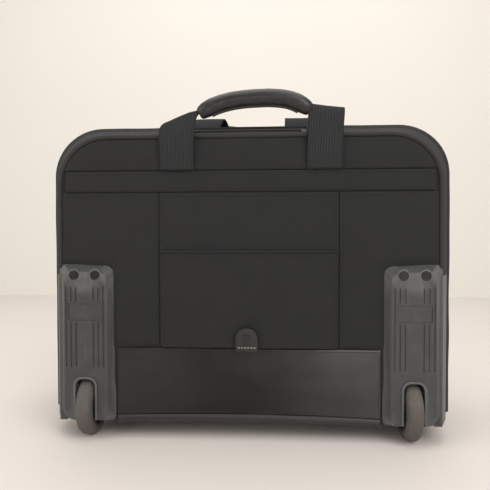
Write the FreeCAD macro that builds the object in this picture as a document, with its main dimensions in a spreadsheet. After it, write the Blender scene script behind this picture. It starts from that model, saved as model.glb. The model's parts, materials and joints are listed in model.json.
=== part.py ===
import FreeCAD, Part
import os

import Sketcher

# Rolling laptop case. Millimetres. X to the right seen from the wheeled back, Y from that back
# towards the front pocket, Z up from the floor. Depths are counted from the back panel's face.

SIZES = {
    # the bag's outline
    "half_back": 211, "half_body": 227, "half_front": 213,
    "top_back": 338, "top_body": 351, "top_front": 340,
    "corner_round": 54, "pan_low": 22, "panel": 3, "fabric": 3, "seat_gap": 0.3,
    # depths from the back panel's face
    "flare_end": 34, "back_tape": 10, "mouth": 131, "mouth_tape": 5, "lid_end": 172,
    "pocket_deep": 6,
    "piping_round": 3, "tape": 1.6,
    # what is sewn on the back
    "band_low": 272, "band_high": 296, "band_half": 204, "layer": 1.5,
    "centre_half": 99, "sleeve_half": 97, "sleeve_low": 104, "sleeve_high": 210, "sleeve_gap": 5,
    "kick_half": 147, "kick_low": 26, "kick_high": 103, "kick_thick": 2,
    "trim_low": 18, "trim_thick": 3.5,
    "tab_wide": 25, "tab_tall": 24, "tab_thick": 2, "snap_round": 5,
    # wheel guards
    "guard_inner": 148, "guard_outer": 212, "guard_low": 20, "guard_high": 196,
    "guard_proud": 9.5, "guard_bevel": 9, "guard_wall": 2.6, "guard_round": 12,
    "feature_line": 180, "screw_apart": 23.6, "screw_high": 184.5, "screw_head": 3.8,
    "screw_head_tall": 1.6, "screw_shank": 2, "screw_long": 13, "screw_slack": 0.1,
    "bore_round": 5.4, "bore_deep": 2, "boss_round": 7.2,
    "badge_wide": 38, "badge_low": 134, "badge_tall": 19, "badge_deep": 1,
    "groove_wide": 1.6, "groove_deep": 0.9, "groove_low": 82, "groove_high": 171,
    "groove_pitch": 5.6, "groove_first": 9.8,
    "arch_half": 11, "arch_drop": 1.3, "arch_round": 8, "lip_wide": 2.6, "lip_proud": 1.2,
    # wheels
    "wheel_round": 35, "wheel_wide": 18, "wheel_inset": 13, "hub_round": 25, "hub_shoulder": 9,
    "tread_round": 7, "spacer_wall": 1.5,
    "bearing_round": 11, "bearing_wide": 7, "axle_round": 4, "axle_slack": 0.04,
    "axle_head": 7, "axle_head_tall": 3, "well_half": 12, "well_wall": 2, "well_slack": 4,
    "foot_line": 180, "foot_wide": 38, "foot_deep": 15, "foot_from_mouth": 6,
    # telescoping handle
    "tube_line": 48, "tube_depth": 19, "tube_wide": 26, "tube_deep": 17, "tube_wall": 1.2,
    "stage_wall": 1, "stage_slack": 0.3, "tube_low": 40, "tube_high": 317.7, "stage_step": 2,
    "collar_tall": 3, "collar_lip": 1,
    "bezel_half": 67, "bezel_low": 318, "bezel_floor": 4, "bezel_pocket_half": 61.5,
    "bezel_pocket_deep": 20, "bezel_near": 4.2, "bezel_rim": 3, "grip_half": 58,
    "grip_deep": 16, "grip_tall": 14,
    "grip_wall": 2.2, "button_half": 14, "button_deep": 10, "button_proud": 1.5,
    "button_travel": 2.5, "button_slack": 0.3, "rod_round": 1.5, "yoke_half": 51, "yoke_tall": 3,
    "spring_line": 26, "spring_round": 1.6, "spring_wall": 0.3, "spring_swing": 0.5,
    "bracket_half": 66, "bracket_deep": 26,
    # inside
    "sheet_deep": 36, "sheet_thick": 2, "laptop_half": 197, "laptop_deep": 28,
    "laptop_clear": 4, "laptop_high": 318, "closure_half": 20,
    # carry handles
    "strap_inner": 63, "strap_wide": 38, "strap_thick": 2, "strap_off": 3.6, "strap_high": 361,
    "strap_lean": 14, "strap_rise": 6, "strap_seam": 0.7,
    "patch_tall": 8, "carry_half": 66, "carry_round": 9, "carry_turn": 15, "carry_top": 387,
    "carry_inward": 3,
    "front_line": 112, "front_inner": 45, "front_reach": 16, "front_rise": 35,
    "front_drop": 9, "front_fall": 22, "front_grip_long": 26, "front_grip_tilt": 112,
    # zip sliders
    "slider_half": 4, "slider_tall": 6, "slider_base": 2, "bridge_half": 1.2, "bridge_tall": 3.6,
    "bridge_hole": 2.2, "bridge_inset": 2, "slider_drop": 10,
    "pull_half": 3.5, "pull_long": 28, "pull_thick": 1.4, "eye_half": 1.6,
    "back_slider_high": 82, "main_slider_line": 14, "pocket_slider_line": 134,
    "wrap_end": 20, "tape_sunk": 0.8,
    # front pocket
    "pocket_half": 168, "pocket_low": 45, "pocket_high": 232, "pocket_round": 26,
    "organiser_high": 230,
}


class Size:
    """A number together with the spreadsheet expression that gives it."""

    def __init__(self, value, text):
        self.value = float(value)
        self.text = text

    @staticmethod
    def of(other):
        """Return other as a Size."""
        return other if isinstance(other, Size) else Size(other, repr(float(other)))

    def join(self, sign, other, value):
        """Return the Size of this one and other joined by sign."""
        return Size(value, f"({self.text} {sign} {Size.of(other).text})")

    def __add__(self, other):
        return self.join("+", other, self.value + Size.of(other).value)

    def __sub__(self, other):
        return self.join("-", other, self.value - Size.of(other).value)

    def __mul__(self, other):
        return self.join("*", other, self.value * Size.of(other).value)

    def __truediv__(self, other):
        return self.join("/", other, self.value / Size.of(other).value)

    def __radd__(self, other):
        return Size.of(other) + self

    def __rsub__(self, other):
        return Size.of(other) - self

    def __rmul__(self, other):
        return Size.of(other) * self

    def __neg__(self):
        return Size(-self.value, f"(-1 * {self.text})")


class Sizes:
    """The spreadsheet of driving dimensions, read by alias."""

    def __init__(self, document, table):
        self.sheet = document.addObject("Spreadsheet::Sheet", "Sizes")
        for row, (alias, value) in enumerate(table.items(), start=1):
            self.sheet.set(f"A{row}", alias)
            self.sheet.set(f"B{row}", str(value))
            self.sheet.setAlias(f"B{row}", alias)
        document.recompute()

    def __getattr__(self, alias):
        return Size(self.sheet.get(alias), f"Sizes.{alias}")


doc = FreeCAD.newDocument("rolling_laptop_case")
mm = Sizes(doc, SIZES)
parts = []

WITH_Z = {"XY_Plane": 1, "YZ_Plane": 1, "XZ_Plane": -1}  # which way each plane's normal points


def bind(thing, name, size):
    """Set a property of thing to a Size and tie it to the sheet."""
    size = Size.of(size)
    if "." not in name:
        setattr(thing, name, size.value)
    thing.setExpression(name, size.text)


def place(thing, x=0, y=0, z=0, axis=None, angle=0):
    """Put thing at a bound place, turned by angle about axis."""
    if axis:
        thing.Placement = FreeCAD.Placement(FreeCAD.Vector(), FreeCAD.Rotation(axis, angle))
    for letter, size in zip("xyz", (x, y, z)):
        bind(thing, f"Placement.Base.{letter}", size)
    return thing


def keep(thing, label):
    """Name thing as a sub-part that is written out."""
    thing.Label = label
    parts.append(thing)
    return thing


def depth(from_back):
    """Return the Y of a depth counted from the back panel's face."""
    reach = mm.wheel_round - mm.wheel_inset
    front = mm.lid_end + mm.pocket_deep + mm.slider_base + mm.bridge_tall + mm.seat_gap
    return Size.of(from_back) - (front - reach) / 2


class Outline:
    """A sketch on one of a body's own planes, with every point tied to the sheet."""

    def __init__(self, body, plane, level):
        self.sketch = body.newObject("Sketcher::SketchObject", f"{body.Name}_outline")
        base = [part for part in body.Origin.OriginFeatures if part.Role == plane][0]
        self.sketch.AttachmentSupport = [(base, "")]
        self.sketch.MapMode = "FlatFace"
        level = Size.of(level) * WITH_Z[plane]
        self.sketch.setExpression("AttachmentOffset.Base.z", level.text)

    def rule(self, *words):
        """Add one geometric rule."""
        return self.sketch.addConstraint(Sketcher.Constraint(*words))

    def measure(self, kind, *words):
        """Add a dimension whose last word is a Size."""
        size = Size.of(words[-1])
        index = self.rule(kind, *words[:-1], size.value)
        self.sketch.setExpression(f"Constraints[{index}]", size.text)

    def pin(self, edge, end, point):
        """Tie one end of an edge to a point."""
        self.measure("DistanceX", -1, 1, edge, end, point[0])
        self.measure("DistanceY", -1, 1, edge, end, point[1])

    def path(self, corners, closed=True):
        """Draw straight runs through corners; a corner with a third size is rounded by it."""
        corners = [tuple(Size.of(size) for size in corner) for corner in corners]
        count = len(corners)
        starts, ends, arcs = [], [], []
        for number, corner in enumerate(corners):
            if len(corner) == 2:
                starts.append(corner)
                ends.append(corner)
                continue
            before, after = corners[number - 1], corners[(number + 1) % count]
            ends.append(toward(corner, before))
            starts.append(toward(corner, after))
            arcs.append(number)
        lines = []
        runs = count if closed else count - 1
        for number in range(runs):
            first, last = starts[number], ends[(number + 1) % count]
            line = Part.LineSegment(vector(first), vector(last))
            lines.append(self.sketch.addGeometry(line, False))
            self.pin(lines[-1], 1, first)
            if closed or number < runs - 1 or len(corners[-1]) == 2:
                self.pin(lines[-1], 2, last)
        for number in arcs:
            self.round(corners[number], lines[number - 1], lines[number])
        self.join_sharp(corners, lines, closed)
        return self

    def join_sharp(self, corners, lines, closed):
        """Weld the runs that meet at a corner without a round."""
        first = 0 if closed else 1
        last = len(corners) if closed else len(corners) - 1
        for number in range(first, last):
            if len(corners[number]) == 2:
                self.unpin(lines[number - 1], 2)
                self.rule("Coincident", lines[number - 1], 2, lines[number], 1)

    def unpin(self, edge, end):
        """Take away the two dimensions of an edge's end, which a weld replaces."""
        found = [
            index for index, rule in enumerate(self.sketch.Constraints)
            if rule.Type in ("DistanceX", "DistanceY")
            and (rule.Second, rule.SecondPos) == (edge, end)
        ]
        for index in reversed(found):
            self.sketch.delConstraint(index)

    def round(self, corner, before, after):
        """Join two runs by an arc."""
        start = self.sketch.getPoint(before, 2)
        stop = self.sketch.getPoint(after, 1)
        middle = vector(corner[:2])
        centre = start + stop - middle
        inward = (middle - centre).normalize()
        top = centre + inward * corner[2].value
        arc = Part.Arc(start, top, stop)
        edge = self.sketch.addGeometry(arc, False)
        turn = (start - centre).cross(stop - centre).z
        low, high = (1, 2) if turn > 0 else (2, 1)
        self.rule("Coincident", before, 2, edge, low)
        self.rule("Coincident", after, 1, edge, high)
        self.measure("Radius", edge, corner[2])

    def circle(self, centre, size):
        """Draw a circle."""
        centre = tuple(Size.of(part) for part in centre)
        shape = Part.Circle(vector(centre), FreeCAD.Vector(0, 0, 1), Size.of(size).value)
        edge = self.sketch.addGeometry(shape, False)
        self.pin(edge, 3, centre)
        self.measure("Radius", edge, size)
        return self


def vector(point):
    """Return a sketch point as a vector."""
    return FreeCAD.Vector(point[0].value, point[1].value, 0)


def toward(corner, other):
    """Return the point where a rounded corner's arc meets the run towards other."""
    step_x = other[0].value - corner[0].value
    step_y = other[1].value - corner[1].value
    if abs(step_x) > abs(step_y):
        return (corner[0] + corner[2] * (1 if step_x > 0 else -1), corner[1])
    return (corner[0], corner[1] + corner[2] * (1 if step_y > 0 else -1))


def rectangle(x_low, x_high, y_low, y_high, *rounds):
    """Return the corners of a rectangle, counted from its low corner, with optional rounds."""
    corners = [(x_low, y_low), (x_high, y_low), (x_high, y_high), (x_low, y_high)]
    rounds = rounds or (None,) * 4
    return [corner + ((size,) if size is not None else ()) for corner, size in zip(corners, rounds)]


def arch(half, top, turn, foot):
    """Return the corners of an arch that stands on foot."""
    return [(-half, foot), (half, foot), (half, top, turn), (-half, top, turn)]


def shape_feature(body, kind, outline, length):
    """Pad or pocket an outline by length."""
    feature = body.newObject(f"PartDesign::{kind}", f"{body.Name}_{kind}")
    feature.Profile = outline.sketch
    bind(feature, "Length", length)


def add(body, plane, low, high, *drawings):
    """Add what the drawings outline between two levels along a plane's normal axis."""
    level = high if plane == "XZ_Plane" else low
    outline = Outline(body, plane, level)
    draw(outline, drawings)
    shape_feature(body, "Pad", outline, Size.of(high) - low)
    return body


def take(body, plane, low, high, *drawings):
    """Take away what the drawings outline between two levels along a plane's normal axis."""
    level = low if plane == "XZ_Plane" else high
    outline = Outline(body, plane, level)
    draw(outline, drawings)
    shape_feature(body, "Pocket", outline, Size.of(high) - low)
    return body


def draw(outline, drawings):
    """Draw each path, or each circle given as a centre and a size."""
    for drawing in drawings:
        if isinstance(drawing, tuple):
            outline.circle(*drawing)
        else:
            outline.path(drawing)


def new_body(name):
    """Start a body."""
    body = doc.addObject("PartDesign::Body", name)
    body.Label = name
    return body


def block(name, x, y, z):
    """Make a plain block between pairs of low and high sizes."""
    thing = doc.addObject("Part::Box", name)
    for side, (low, high) in zip(("Length", "Width", "Height"), (x, y, z)):
        bind(thing, side, Size.of(high) - low)
    return place(thing, x[0], y[0], z[0])


def rod(name, size, length, centre, axis=None, angle=0):
    """Make a round rod from centre, along Z unless it is turned."""
    thing = doc.addObject("Part::Cylinder", name)
    bind(thing, "Radius", size)
    bind(thing, "Height", length)
    return place(thing, *centre, axis=axis, angle=angle)


def group(name, members):
    """Gather separate solids under one sub-part."""
    thing = doc.addObject("Part::Compound", name)
    thing.Links = members
    return keep(thing, name)


def less(name, base, tool):
    """Cut tool out of base."""
    thing = doc.addObject("Part::Cut", name)
    thing.Base = base
    thing.Tool = tool
    return thing


def mirrored(name, source):
    """Make the other hand of a sub-part."""
    thing = doc.addObject("Part::Mirroring", name)
    thing.Source = source
    thing.Normal = FreeCAD.Vector(1, 0, 0)
    return keep(thing, name)


def hoop(name, near, far, first, last, foot, inner_foot, thick):
    """Make a band that follows the bag's outline between two depths.

    near and far are each half, top and corner round; the band is open below when inner_foot is
    under foot.
    """
    body = new_body(name)
    for kind, inset, low in (("AdditiveLoft", 0, foot), ("SubtractiveLoft", thick, inner_foot)):
        sections = []
        for (half, top, turn), level in ((near, first), (far, last)):
            outline = Outline(body, "XZ_Plane", depth(level))
            outline.path(arch(half - inset, top - inset, turn - inset, low))
            sections.append(outline.sketch)
        loft = body.newObject(f"PartDesign::{kind}", f"{name}_{kind}")
        loft.Profile = sections[0]
        loft.Sections = [sections[1]]
    return keep(body, name)


def cord_edge(name, half, top, turn, foot, level, size):
    """Sweep a round cord along an arch that stands at the Y given by level."""
    body = new_body(name)
    path = Outline(body, "XZ_Plane", level)
    path.path([(-half, foot), (-half, top, turn), (half, top, turn), (half, foot)], closed=False)
    section = Outline(body, "XY_Plane", foot)
    section.circle((-half, level), size)
    pipe = body.newObject("PartDesign::AdditivePipe", f"{name}_sweep")
    pipe.Profile = section.sketch
    doc.recompute()
    edges = [f"Edge{number + 1}" for number in range(len(path.sketch.Shape.Edges))]
    pipe.Spine = (path.sketch, edges)
    return keep(body, name)


def flare_half(level):
    """Return the bag's half width at a depth within the flared back."""
    run = mm.flare_end - mm.piping_round - mm.seat_gap
    share = (Size.of(level) - mm.piping_round - mm.seat_gap) / run
    return mm.half_back + share * (mm.half_body - mm.half_back)


BELOW = 40  # how far a cut reaches past what it opens

back_shape = (mm.half_back, mm.top_back, mm.corner_round)
body_shape = (mm.half_body, mm.top_body, mm.corner_round)
front_shape = (mm.half_front, mm.top_front, mm.corner_round)
wheel_y = depth(mm.wheel_inset)
wheel_x = mm.feature_line
well_outer = mm.well_half + mm.well_wall
well_top = mm.wheel_round * 2 + mm.well_slack
well_back = mm.wheel_inset + mm.wheel_round + mm.well_slack
pan_top = mm.pan_low + mm.panel
leg_foot = pan_top + mm.seat_gap
arch_high = mm.wheel_round * 2 - mm.arch_drop
laptop_low = well_top + mm.well_wall + mm.laptop_clear
back_zip_end = mm.flare_end + mm.back_tape
body_end = mm.mouth - mm.mouth_tape
lid_zip_end = mm.mouth + mm.mouth_tape
pocket_face = mm.lid_end + mm.pocket_deep


def back_shell():
    """The stiff back panel, its sewn layers and the kick panel."""
    inset = mm.piping_round + mm.seat_gap
    panel = new_body("back_panel")
    outline = arch(mm.half_back - inset, mm.top_back - inset, mm.corner_round - inset, mm.pan_low)
    add(panel, "XZ_Plane", depth(0), depth(mm.panel), outline)
    notches = [
        rectangle(side * wheel_x - mm.well_half, side * wheel_x + mm.well_half,
                  mm.pan_low - BELOW, well_top)
        for side in (-1, 1)
    ]
    screws = [((x, mm.screw_high), mm.screw_shank + mm.screw_slack) for x in screw_lines()]
    take(panel, "XZ_Plane", depth(0), depth(mm.panel), *notches, *screws)
    keep(panel, "back_panel")

    layer_low, layer_high = depth(-mm.seat_gap - mm.layer), depth(-mm.seat_gap)
    band = new_body("back_band")
    add(band, "XZ_Plane", layer_low, layer_high,
        rectangle(-mm.band_half, mm.band_half, mm.band_low, mm.band_high, 2, 2, 2, 2))
    keep(band, "back_band")
    centre = new_body("back_centre_panel")
    add(centre, "XZ_Plane", layer_low, layer_high,
        rectangle(-mm.centre_half, mm.centre_half, mm.sleeve_low, mm.band_low - mm.seat_gap))
    keep(centre, "back_centre_panel")

    kick = new_body("kick_panel")
    add(kick, "XZ_Plane", depth(-mm.seat_gap - mm.kick_thick), depth(-mm.seat_gap),
        rectangle(-mm.kick_half, mm.kick_half, mm.kick_low, mm.kick_high))
    keep(kick, "kick_panel")
    trim = new_body("bottom_trim")
    add(trim, "XZ_Plane", depth(-mm.seat_gap - mm.trim_thick), depth(-mm.seat_gap),
        rectangle(-mm.kick_half, mm.kick_half, mm.trim_low, mm.kick_low - mm.seat_gap,
                  1, 1, 1, 1))
    keep(trim, "bottom_trim")
    cord_edge("back_piping", mm.half_back, mm.top_back, mm.corner_round,
              mm.guard_high + mm.seat_gap, depth(0), mm.piping_round)


def screw_lines():
    """Return the X of the four guard screws."""
    apart = mm.screw_apart / 2
    return [side * wheel_x + step * apart for side in (-1, 1) for step in (-1, 1)]


def trolley_sleeve():
    """The open-topped pocket on the back and the tab that closes its lower edge."""
    inner = -mm.seat_gap * 2 - mm.layer
    outer = inner - mm.sleeve_gap - mm.layer
    sleeve = new_body("sleeve_pocket")
    add(sleeve, "XZ_Plane", depth(outer), depth(inner),
        rectangle(-mm.sleeve_half, mm.sleeve_half, mm.sleeve_low, mm.sleeve_high, 6, 6, 0.5, 0.5))
    take(sleeve, "XZ_Plane", depth(outer + mm.layer), depth(inner + BELOW),
         rectangle(-mm.sleeve_half + mm.layer, mm.sleeve_half - mm.layer,
                   mm.sleeve_low + mm.layer, mm.sleeve_high + BELOW))
    keep(sleeve, "sleeve_pocket")

    tab_back = outer - mm.seat_gap
    tab = new_body("sleeve_tab")
    half = mm.tab_wide / 2
    top = mm.kick_high + mm.tab_tall
    add(tab, "XZ_Plane", depth(tab_back - mm.tab_thick), depth(tab_back),
        rectangle(-half, half, mm.kick_high - mm.tab_thick, top, 0.5, 0.5, half - 0.5, half - 0.5))
    knuckle = mm.tab_thick / 2
    root = -mm.seat_gap * 2 - mm.kick_thick - knuckle
    low = mm.kick_high - mm.tab_thick
    add(tab, "YZ_Plane", -half, half,
        [(depth(tab_back - knuckle), low), (depth(root), low),
         (depth(root), mm.kick_high), (depth(tab_back - knuckle), mm.kick_high)])
    add(tab, "YZ_Plane", -half, half, ((depth(root), mm.kick_high - knuckle), knuckle))
    keep(tab, "sleeve_tab")
    snap = rod("tab_snap", mm.snap_round, 1, (0, depth(tab_back - mm.tab_thick), top - half),
               FreeCAD.Vector(1, 0, 0), 90)
    keep(snap, "tab_snap")


def guards():
    """The moulded wheel guards with their ribs, bare badge recess and raised wheel arch."""
    guard = new_body("guard_right")
    foot = -mm.seat_gap
    for kind, wall in (("AdditiveLoft", 0), ("SubtractiveLoft", mm.guard_wall)):
        sections = []
        for bevel, level in ((0, foot), (mm.guard_bevel, -mm.guard_proud + wall)):
            outline = Outline(guard, "XZ_Plane", depth(level))
            inset = bevel * 0.9 + wall
            outline.path(rectangle(
                mm.guard_inner + inset, mm.guard_outer - inset,
                mm.guard_low + inset * 0.3, mm.guard_high - inset,
                5, mm.guard_round, 6, mm.guard_round))
            sections.append(outline.sketch)
        loft = guard.newObject(f"PartDesign::{kind}", f"guard_{kind}")
        loft.Profile = sections[0]
        loft.Sections = [sections[1]]
    face = depth(-mm.guard_proud)
    bosses = [((x, mm.screw_high), mm.boss_round) for x in screw_lines()[2:]]
    add(guard, "XZ_Plane", face + 0.2, depth(foot), *bosses)
    lip = mm.arch_half + mm.lip_wide
    lip_low = mm.guard_low + mm.guard_bevel * 0.3
    add(guard, "XZ_Plane", face - mm.lip_proud, depth(foot),
        rectangle(wheel_x - lip, wheel_x + lip, lip_low, arch_high + mm.lip_wide,
                  1, 1, mm.arch_round + mm.lip_wide, mm.arch_round + mm.lip_wide))
    add(guard, "XY_Plane", mm.guard_low, mm.guard_high - mm.guard_round, wrap_corners())

    slot = rectangle(wheel_x - mm.arch_half, wheel_x + mm.arch_half, mm.guard_low - BELOW,
                     arch_high, 1, 1, mm.arch_round, mm.arch_round)
    take(guard, "XZ_Plane", face - BELOW, depth(foot + BELOW), slot)
    holes = [((x, mm.screw_high), mm.screw_shank + mm.screw_slack) for x in screw_lines()[2:]]
    bores = [(centre, mm.bore_round) for centre, _ in holes]
    take(guard, "XZ_Plane", face, depth(foot), *holes)
    take(guard, "XZ_Plane", face - 1, face + mm.bore_deep, *bores)
    take(guard, "XZ_Plane", face - 1, face + mm.badge_deep, badge())
    take(guard, "XZ_Plane", face - 1, face + mm.groove_deep, *grooves())
    keep(guard, "guard_right")
    mirrored("guard_left", guard)

    screws = []
    for number, x in enumerate(screw_lines(), start=1):
        seat = face + mm.bore_deep
        head = rod(f"screw_head_{number}", mm.screw_head, mm.screw_head_tall,
                   (x, seat, mm.screw_high), FreeCAD.Vector(1, 0, 0), 90)
        shank = rod(f"screw_shank_{number}", mm.screw_shank, mm.screw_long,
                    (x, seat, mm.screw_high), FreeCAD.Vector(1, 0, 0), -90)
        joined = doc.addObject("Part::Fuse", f"screw_{number}")
        joined.Base = head
        joined.Tool = shank
        screws.append(joined)
    group("guard_screws", screws)


def wrap_corners():
    """Return the section of the guard's side, which follows the bag's flare."""
    clear = mm.seat_gap + 0.1
    start = mm.piping_round + mm.seat_gap
    wall = mm.guard_wall
    end = mm.wrap_end
    return [
        (mm.guard_outer - 8, depth(-wall)), (mm.guard_outer, depth(-wall)),
        (flare_half(start) + clear + wall, depth(start - 1)),
        (flare_half(end) + clear + wall, depth(end - 1)), (flare_half(end) + clear, depth(end)),
        (flare_half(start) + clear, depth(start)), (mm.half_back - 1, depth(-mm.seat_gap)),
        (mm.guard_outer - 8, depth(-mm.seat_gap)),
    ]


def badge():
    """Return the recess that stays bare."""
    half = mm.badge_wide / 2
    return rectangle(wheel_x - half, wheel_x + half, mm.badge_low, mm.badge_low + mm.badge_tall)


def grooves():
    """Return the guard's upright grooves; the inner ones stop at the badge recess."""
    drawings = []
    for side in (-1, 1):
        for number in range(3):
            middle = wheel_x + side * (mm.groove_first + number * mm.groove_pitch)
            x_low, x_high = middle - mm.groove_wide / 2, middle + mm.groove_wide / 2
            spans = [(mm.groove_low, mm.groove_high)]
            if number < 2:
                margin = 2
                spans = [(mm.groove_low, mm.badge_low - margin),
                         (mm.badge_low + mm.badge_tall + margin, mm.groove_high)]
            drawings += [rectangle(x_low, x_high, low, high) for low, high in spans]
    return drawings


def carcass():
    """The gussets, zip tapes, base pan, wells, feet and inner sheet."""
    start = mm.piping_round + mm.seat_gap
    back_gusset = hoop("back_gusset", back_shape, body_shape, start, mm.flare_end,
                       leg_foot, pan_top - BELOW, mm.fabric)
    mouth_half = mm.bezel_half + mm.seat_gap
    take(back_gusset, "XY_Plane", mm.bezel_low - mm.seat_gap, mm.top_body + BELOW,
         rectangle(-mouth_half, mouth_half, depth(0),
                   depth(mm.flare_end - mm.bezel_rim + mm.seat_gap)))
    gap = mm.seat_gap
    hoop("back_zip_tape", inset_shape(body_shape), inset_shape(body_shape),
         mm.flare_end + gap, back_zip_end, leg_foot, pan_top - BELOW, mm.tape)
    hoop("main_gusset", body_shape, body_shape, back_zip_end + gap, body_end,
         leg_foot, pan_top - BELOW, mm.fabric)
    hoop("mouth_zip_tape", inset_shape(body_shape), inset_shape(body_shape),
         body_end + gap, mm.mouth, leg_foot, pan_top - BELOW, mm.tape)

    pan = new_body("base_pan")
    back_half, full = flare_half(start), mm.half_body
    add(pan, "XY_Plane", mm.pan_low, pan_top, [
        (-back_half, depth(start)), (back_half, depth(start)), (full, depth(mm.flare_end)),
        (full, depth(mm.mouth)), (-full, depth(mm.mouth)), (-full, depth(mm.flare_end))])
    clear = well_outer + gap
    take(pan, "XY_Plane", mm.pan_low, pan_top, *[
        rectangle(side * wheel_x - clear, side * wheel_x + clear,
                  depth(start - 1), depth(well_back + mm.well_wall + gap))
        for side in (-1, 1)])
    keep(pan, "base_pan")

    well = new_body("wheel_well_right")
    add(well, "XZ_Plane", depth(start), depth(well_back + mm.well_wall),
        rectangle(wheel_x - well_outer, wheel_x + well_outer, mm.pan_low, well_top + mm.well_wall))
    take(well, "XZ_Plane", depth(start - 1), depth(well_back),
         rectangle(wheel_x - mm.well_half, wheel_x + mm.well_half, mm.pan_low - 1, well_top))
    take(well, "YZ_Plane", wheel_x - well_outer - 1, wheel_x + well_outer + 1,
         ((wheel_y, mm.wheel_round), mm.axle_round + mm.screw_slack))
    keep(well, "wheel_well_right")
    mirrored("wheel_well_left", well)

    feet = []
    front = mm.mouth - mm.foot_from_mouth
    for number, side in enumerate((-1, 1), start=1):
        foot = new_body(f"foot_{number}")
        half = mm.foot_wide / 2
        middle = side * mm.foot_line
        add(foot, "XY_Plane", 0, mm.pan_low, rectangle(
            middle - half, middle + half, depth(front - mm.foot_deep), depth(front), 5, 5, 5, 5))
        feet.append(foot)
    group("front_feet", feet)

    sheet = new_body("frame_sheet")
    inset = mm.fabric + gap
    add(sheet, "XZ_Plane", depth(mm.sheet_deep), depth(mm.sheet_deep + mm.sheet_thick), arch(
        mm.half_body - inset, mm.top_body - inset, mm.corner_round - inset, leg_foot))
    take(sheet, "XZ_Plane", depth(mm.sheet_deep), depth(mm.sheet_deep + mm.sheet_thick), *[
        rectangle(side * wheel_x - clear, side * wheel_x + clear, mm.pan_low - BELOW,
                  well_top + mm.well_wall + gap) for side in (-1, 1)])
    keep(sheet, "frame_sheet")


def inset_shape(shape):
    """Return the outline of a zip tape, which lies just under the gussets' faces."""
    return tuple(size - mm.tape_sunk for size in shape)


def wheels():
    """Each wheel's tyre, hub, bearings and spacer, and the axle through its well."""
    half = mm.wheel_wide / 2
    tyre = turned("tyre_right", rectangle(
        -half, half, mm.hub_round, mm.wheel_round, 0.5, 0.5, mm.tread_round, mm.tread_round))
    shoulder = half - mm.bearing_wide
    web = half - 3
    hub = turned("hub_right", [
        (-half, mm.bearing_round), (-shoulder, mm.bearing_round), (-shoulder, mm.hub_shoulder),
        (shoulder, mm.hub_shoulder), (shoulder, mm.bearing_round), (half, mm.bearing_round),
        (half, mm.bearing_round + 3), (web, mm.bearing_round + 3), (web, mm.hub_round - 3),
        (half, mm.hub_round - 3), (half, mm.hub_round), (-half, mm.hub_round),
        (-half, mm.hub_round - 3), (-web, mm.hub_round - 3), (-web, mm.bearing_round + 3),
        (-half, mm.bearing_round + 3)])
    bore = mm.axle_round + mm.axle_slack
    pair = []
    for number, side in enumerate((-1, 1), start=1):
        low = shoulder if side > 0 else -half
        pair.append(turned(f"bearing_right_{number}", rectangle(
            low, low + mm.bearing_wide, bore, mm.bearing_round), export=False))
    pair.append(turned("bearing_spacer_right", rectangle(
        -shoulder, shoulder, bore, bore + mm.spacer_wall), export=False))
    bearings = group("bearings_right", pair)
    end = well_outer + mm.seat_gap
    axle = turned("axle_right", [
        (-end - mm.axle_head_tall, 0), (end + mm.axle_head_tall, 0),
        (end + mm.axle_head_tall, mm.axle_head), (end, mm.axle_head), (end, mm.axle_round),
        (-end, mm.axle_round), (-end, mm.axle_head), (-end - mm.axle_head_tall, mm.axle_head)])
    for piece in (tyre, hub, bearings, axle):
        mirrored(piece.Label.replace("right", "left"), piece)


def revolve(body, plane, about, corners):
    """Turn a section, drawn on one of the body's planes, about one of its axes."""
    outline = Outline(body, plane, 0)
    outline.path(corners)
    feature = body.newObject("PartDesign::Revolution", f"{body.Name}_turn")
    feature.Profile = outline.sketch
    axis = [part for part in body.Origin.OriginFeatures if part.Role == about][0]
    feature.ReferenceAxis = (axis, [""])
    feature.Angle = 360


def turned(name, corners, export=True):
    """Turn a section about the right wheel's axle."""
    body = new_body(name)
    revolve(body, "XY_Plane", "X_Axis", corners)
    place(body, wheel_x, wheel_y, mm.wheel_round)
    return keep(body, name) if export else body


def tubes(name, wide, deep, wall, low, high):
    """Make two square tubes, one each side."""
    pair = []
    for number, side in enumerate((-1, 1), start=1):
        body = new_body(f"{name}_{number}")
        middle = side * mm.tube_line
        centre = depth(mm.tube_depth)
        outer = rectangle(middle - wide / 2, middle + wide / 2,
                          centre - deep / 2, centre + deep / 2, 3, 3, 3, 3)
        inner = rectangle(
            middle - wide / 2 + wall, middle + wide / 2 - wall,
            centre - deep / 2 + wall, centre + deep / 2 - wall, 2, 2, 2, 2)
        add(body, "XY_Plane", low, high, outer)
        take(body, "XY_Plane", low, high, inner)
        pair.append(body)
    return pair


def telescope():
    """The pull handle: fixed tubes, three stages with guide collars, housing and grip."""
    group("handle_outer_tubes", tubes("outer_tube", mm.tube_wide, mm.tube_deep, mm.tube_wall,
                                      mm.tube_low, mm.tube_high))
    wide, deep, wall = mm.tube_wide, mm.tube_deep, mm.tube_wall
    low = mm.tube_low
    high = mm.bezel_low + mm.bezel_floor + mm.seat_gap
    first = (wide - 2 * (wall + mm.stage_slack), deep - 2 * (wall + mm.stage_slack))
    for stage in (1, 2, 3):
        shrink = 2 * (wall + mm.stage_slack)
        wide, deep, wall = wide - shrink, deep - shrink, mm.stage_wall
        low = low + mm.stage_step
        collars = []
        if stage < 3:
            lip = wall + mm.collar_lip
            collars = tubes(f"stage_{stage}_collars", wide + 2 * mm.collar_lip,
                            deep + 2 * mm.collar_lip, lip, high, high + mm.collar_tall)
        pair = tubes(f"stage_{stage}_tubes", wide, deep, wall, low, high)
        group(f"stage_{stage}_tubes", pair + collars)
        if stage < 3:
            high = high + mm.collar_tall + mm.seat_gap
    bezel(first)
    grip(high)


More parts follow.
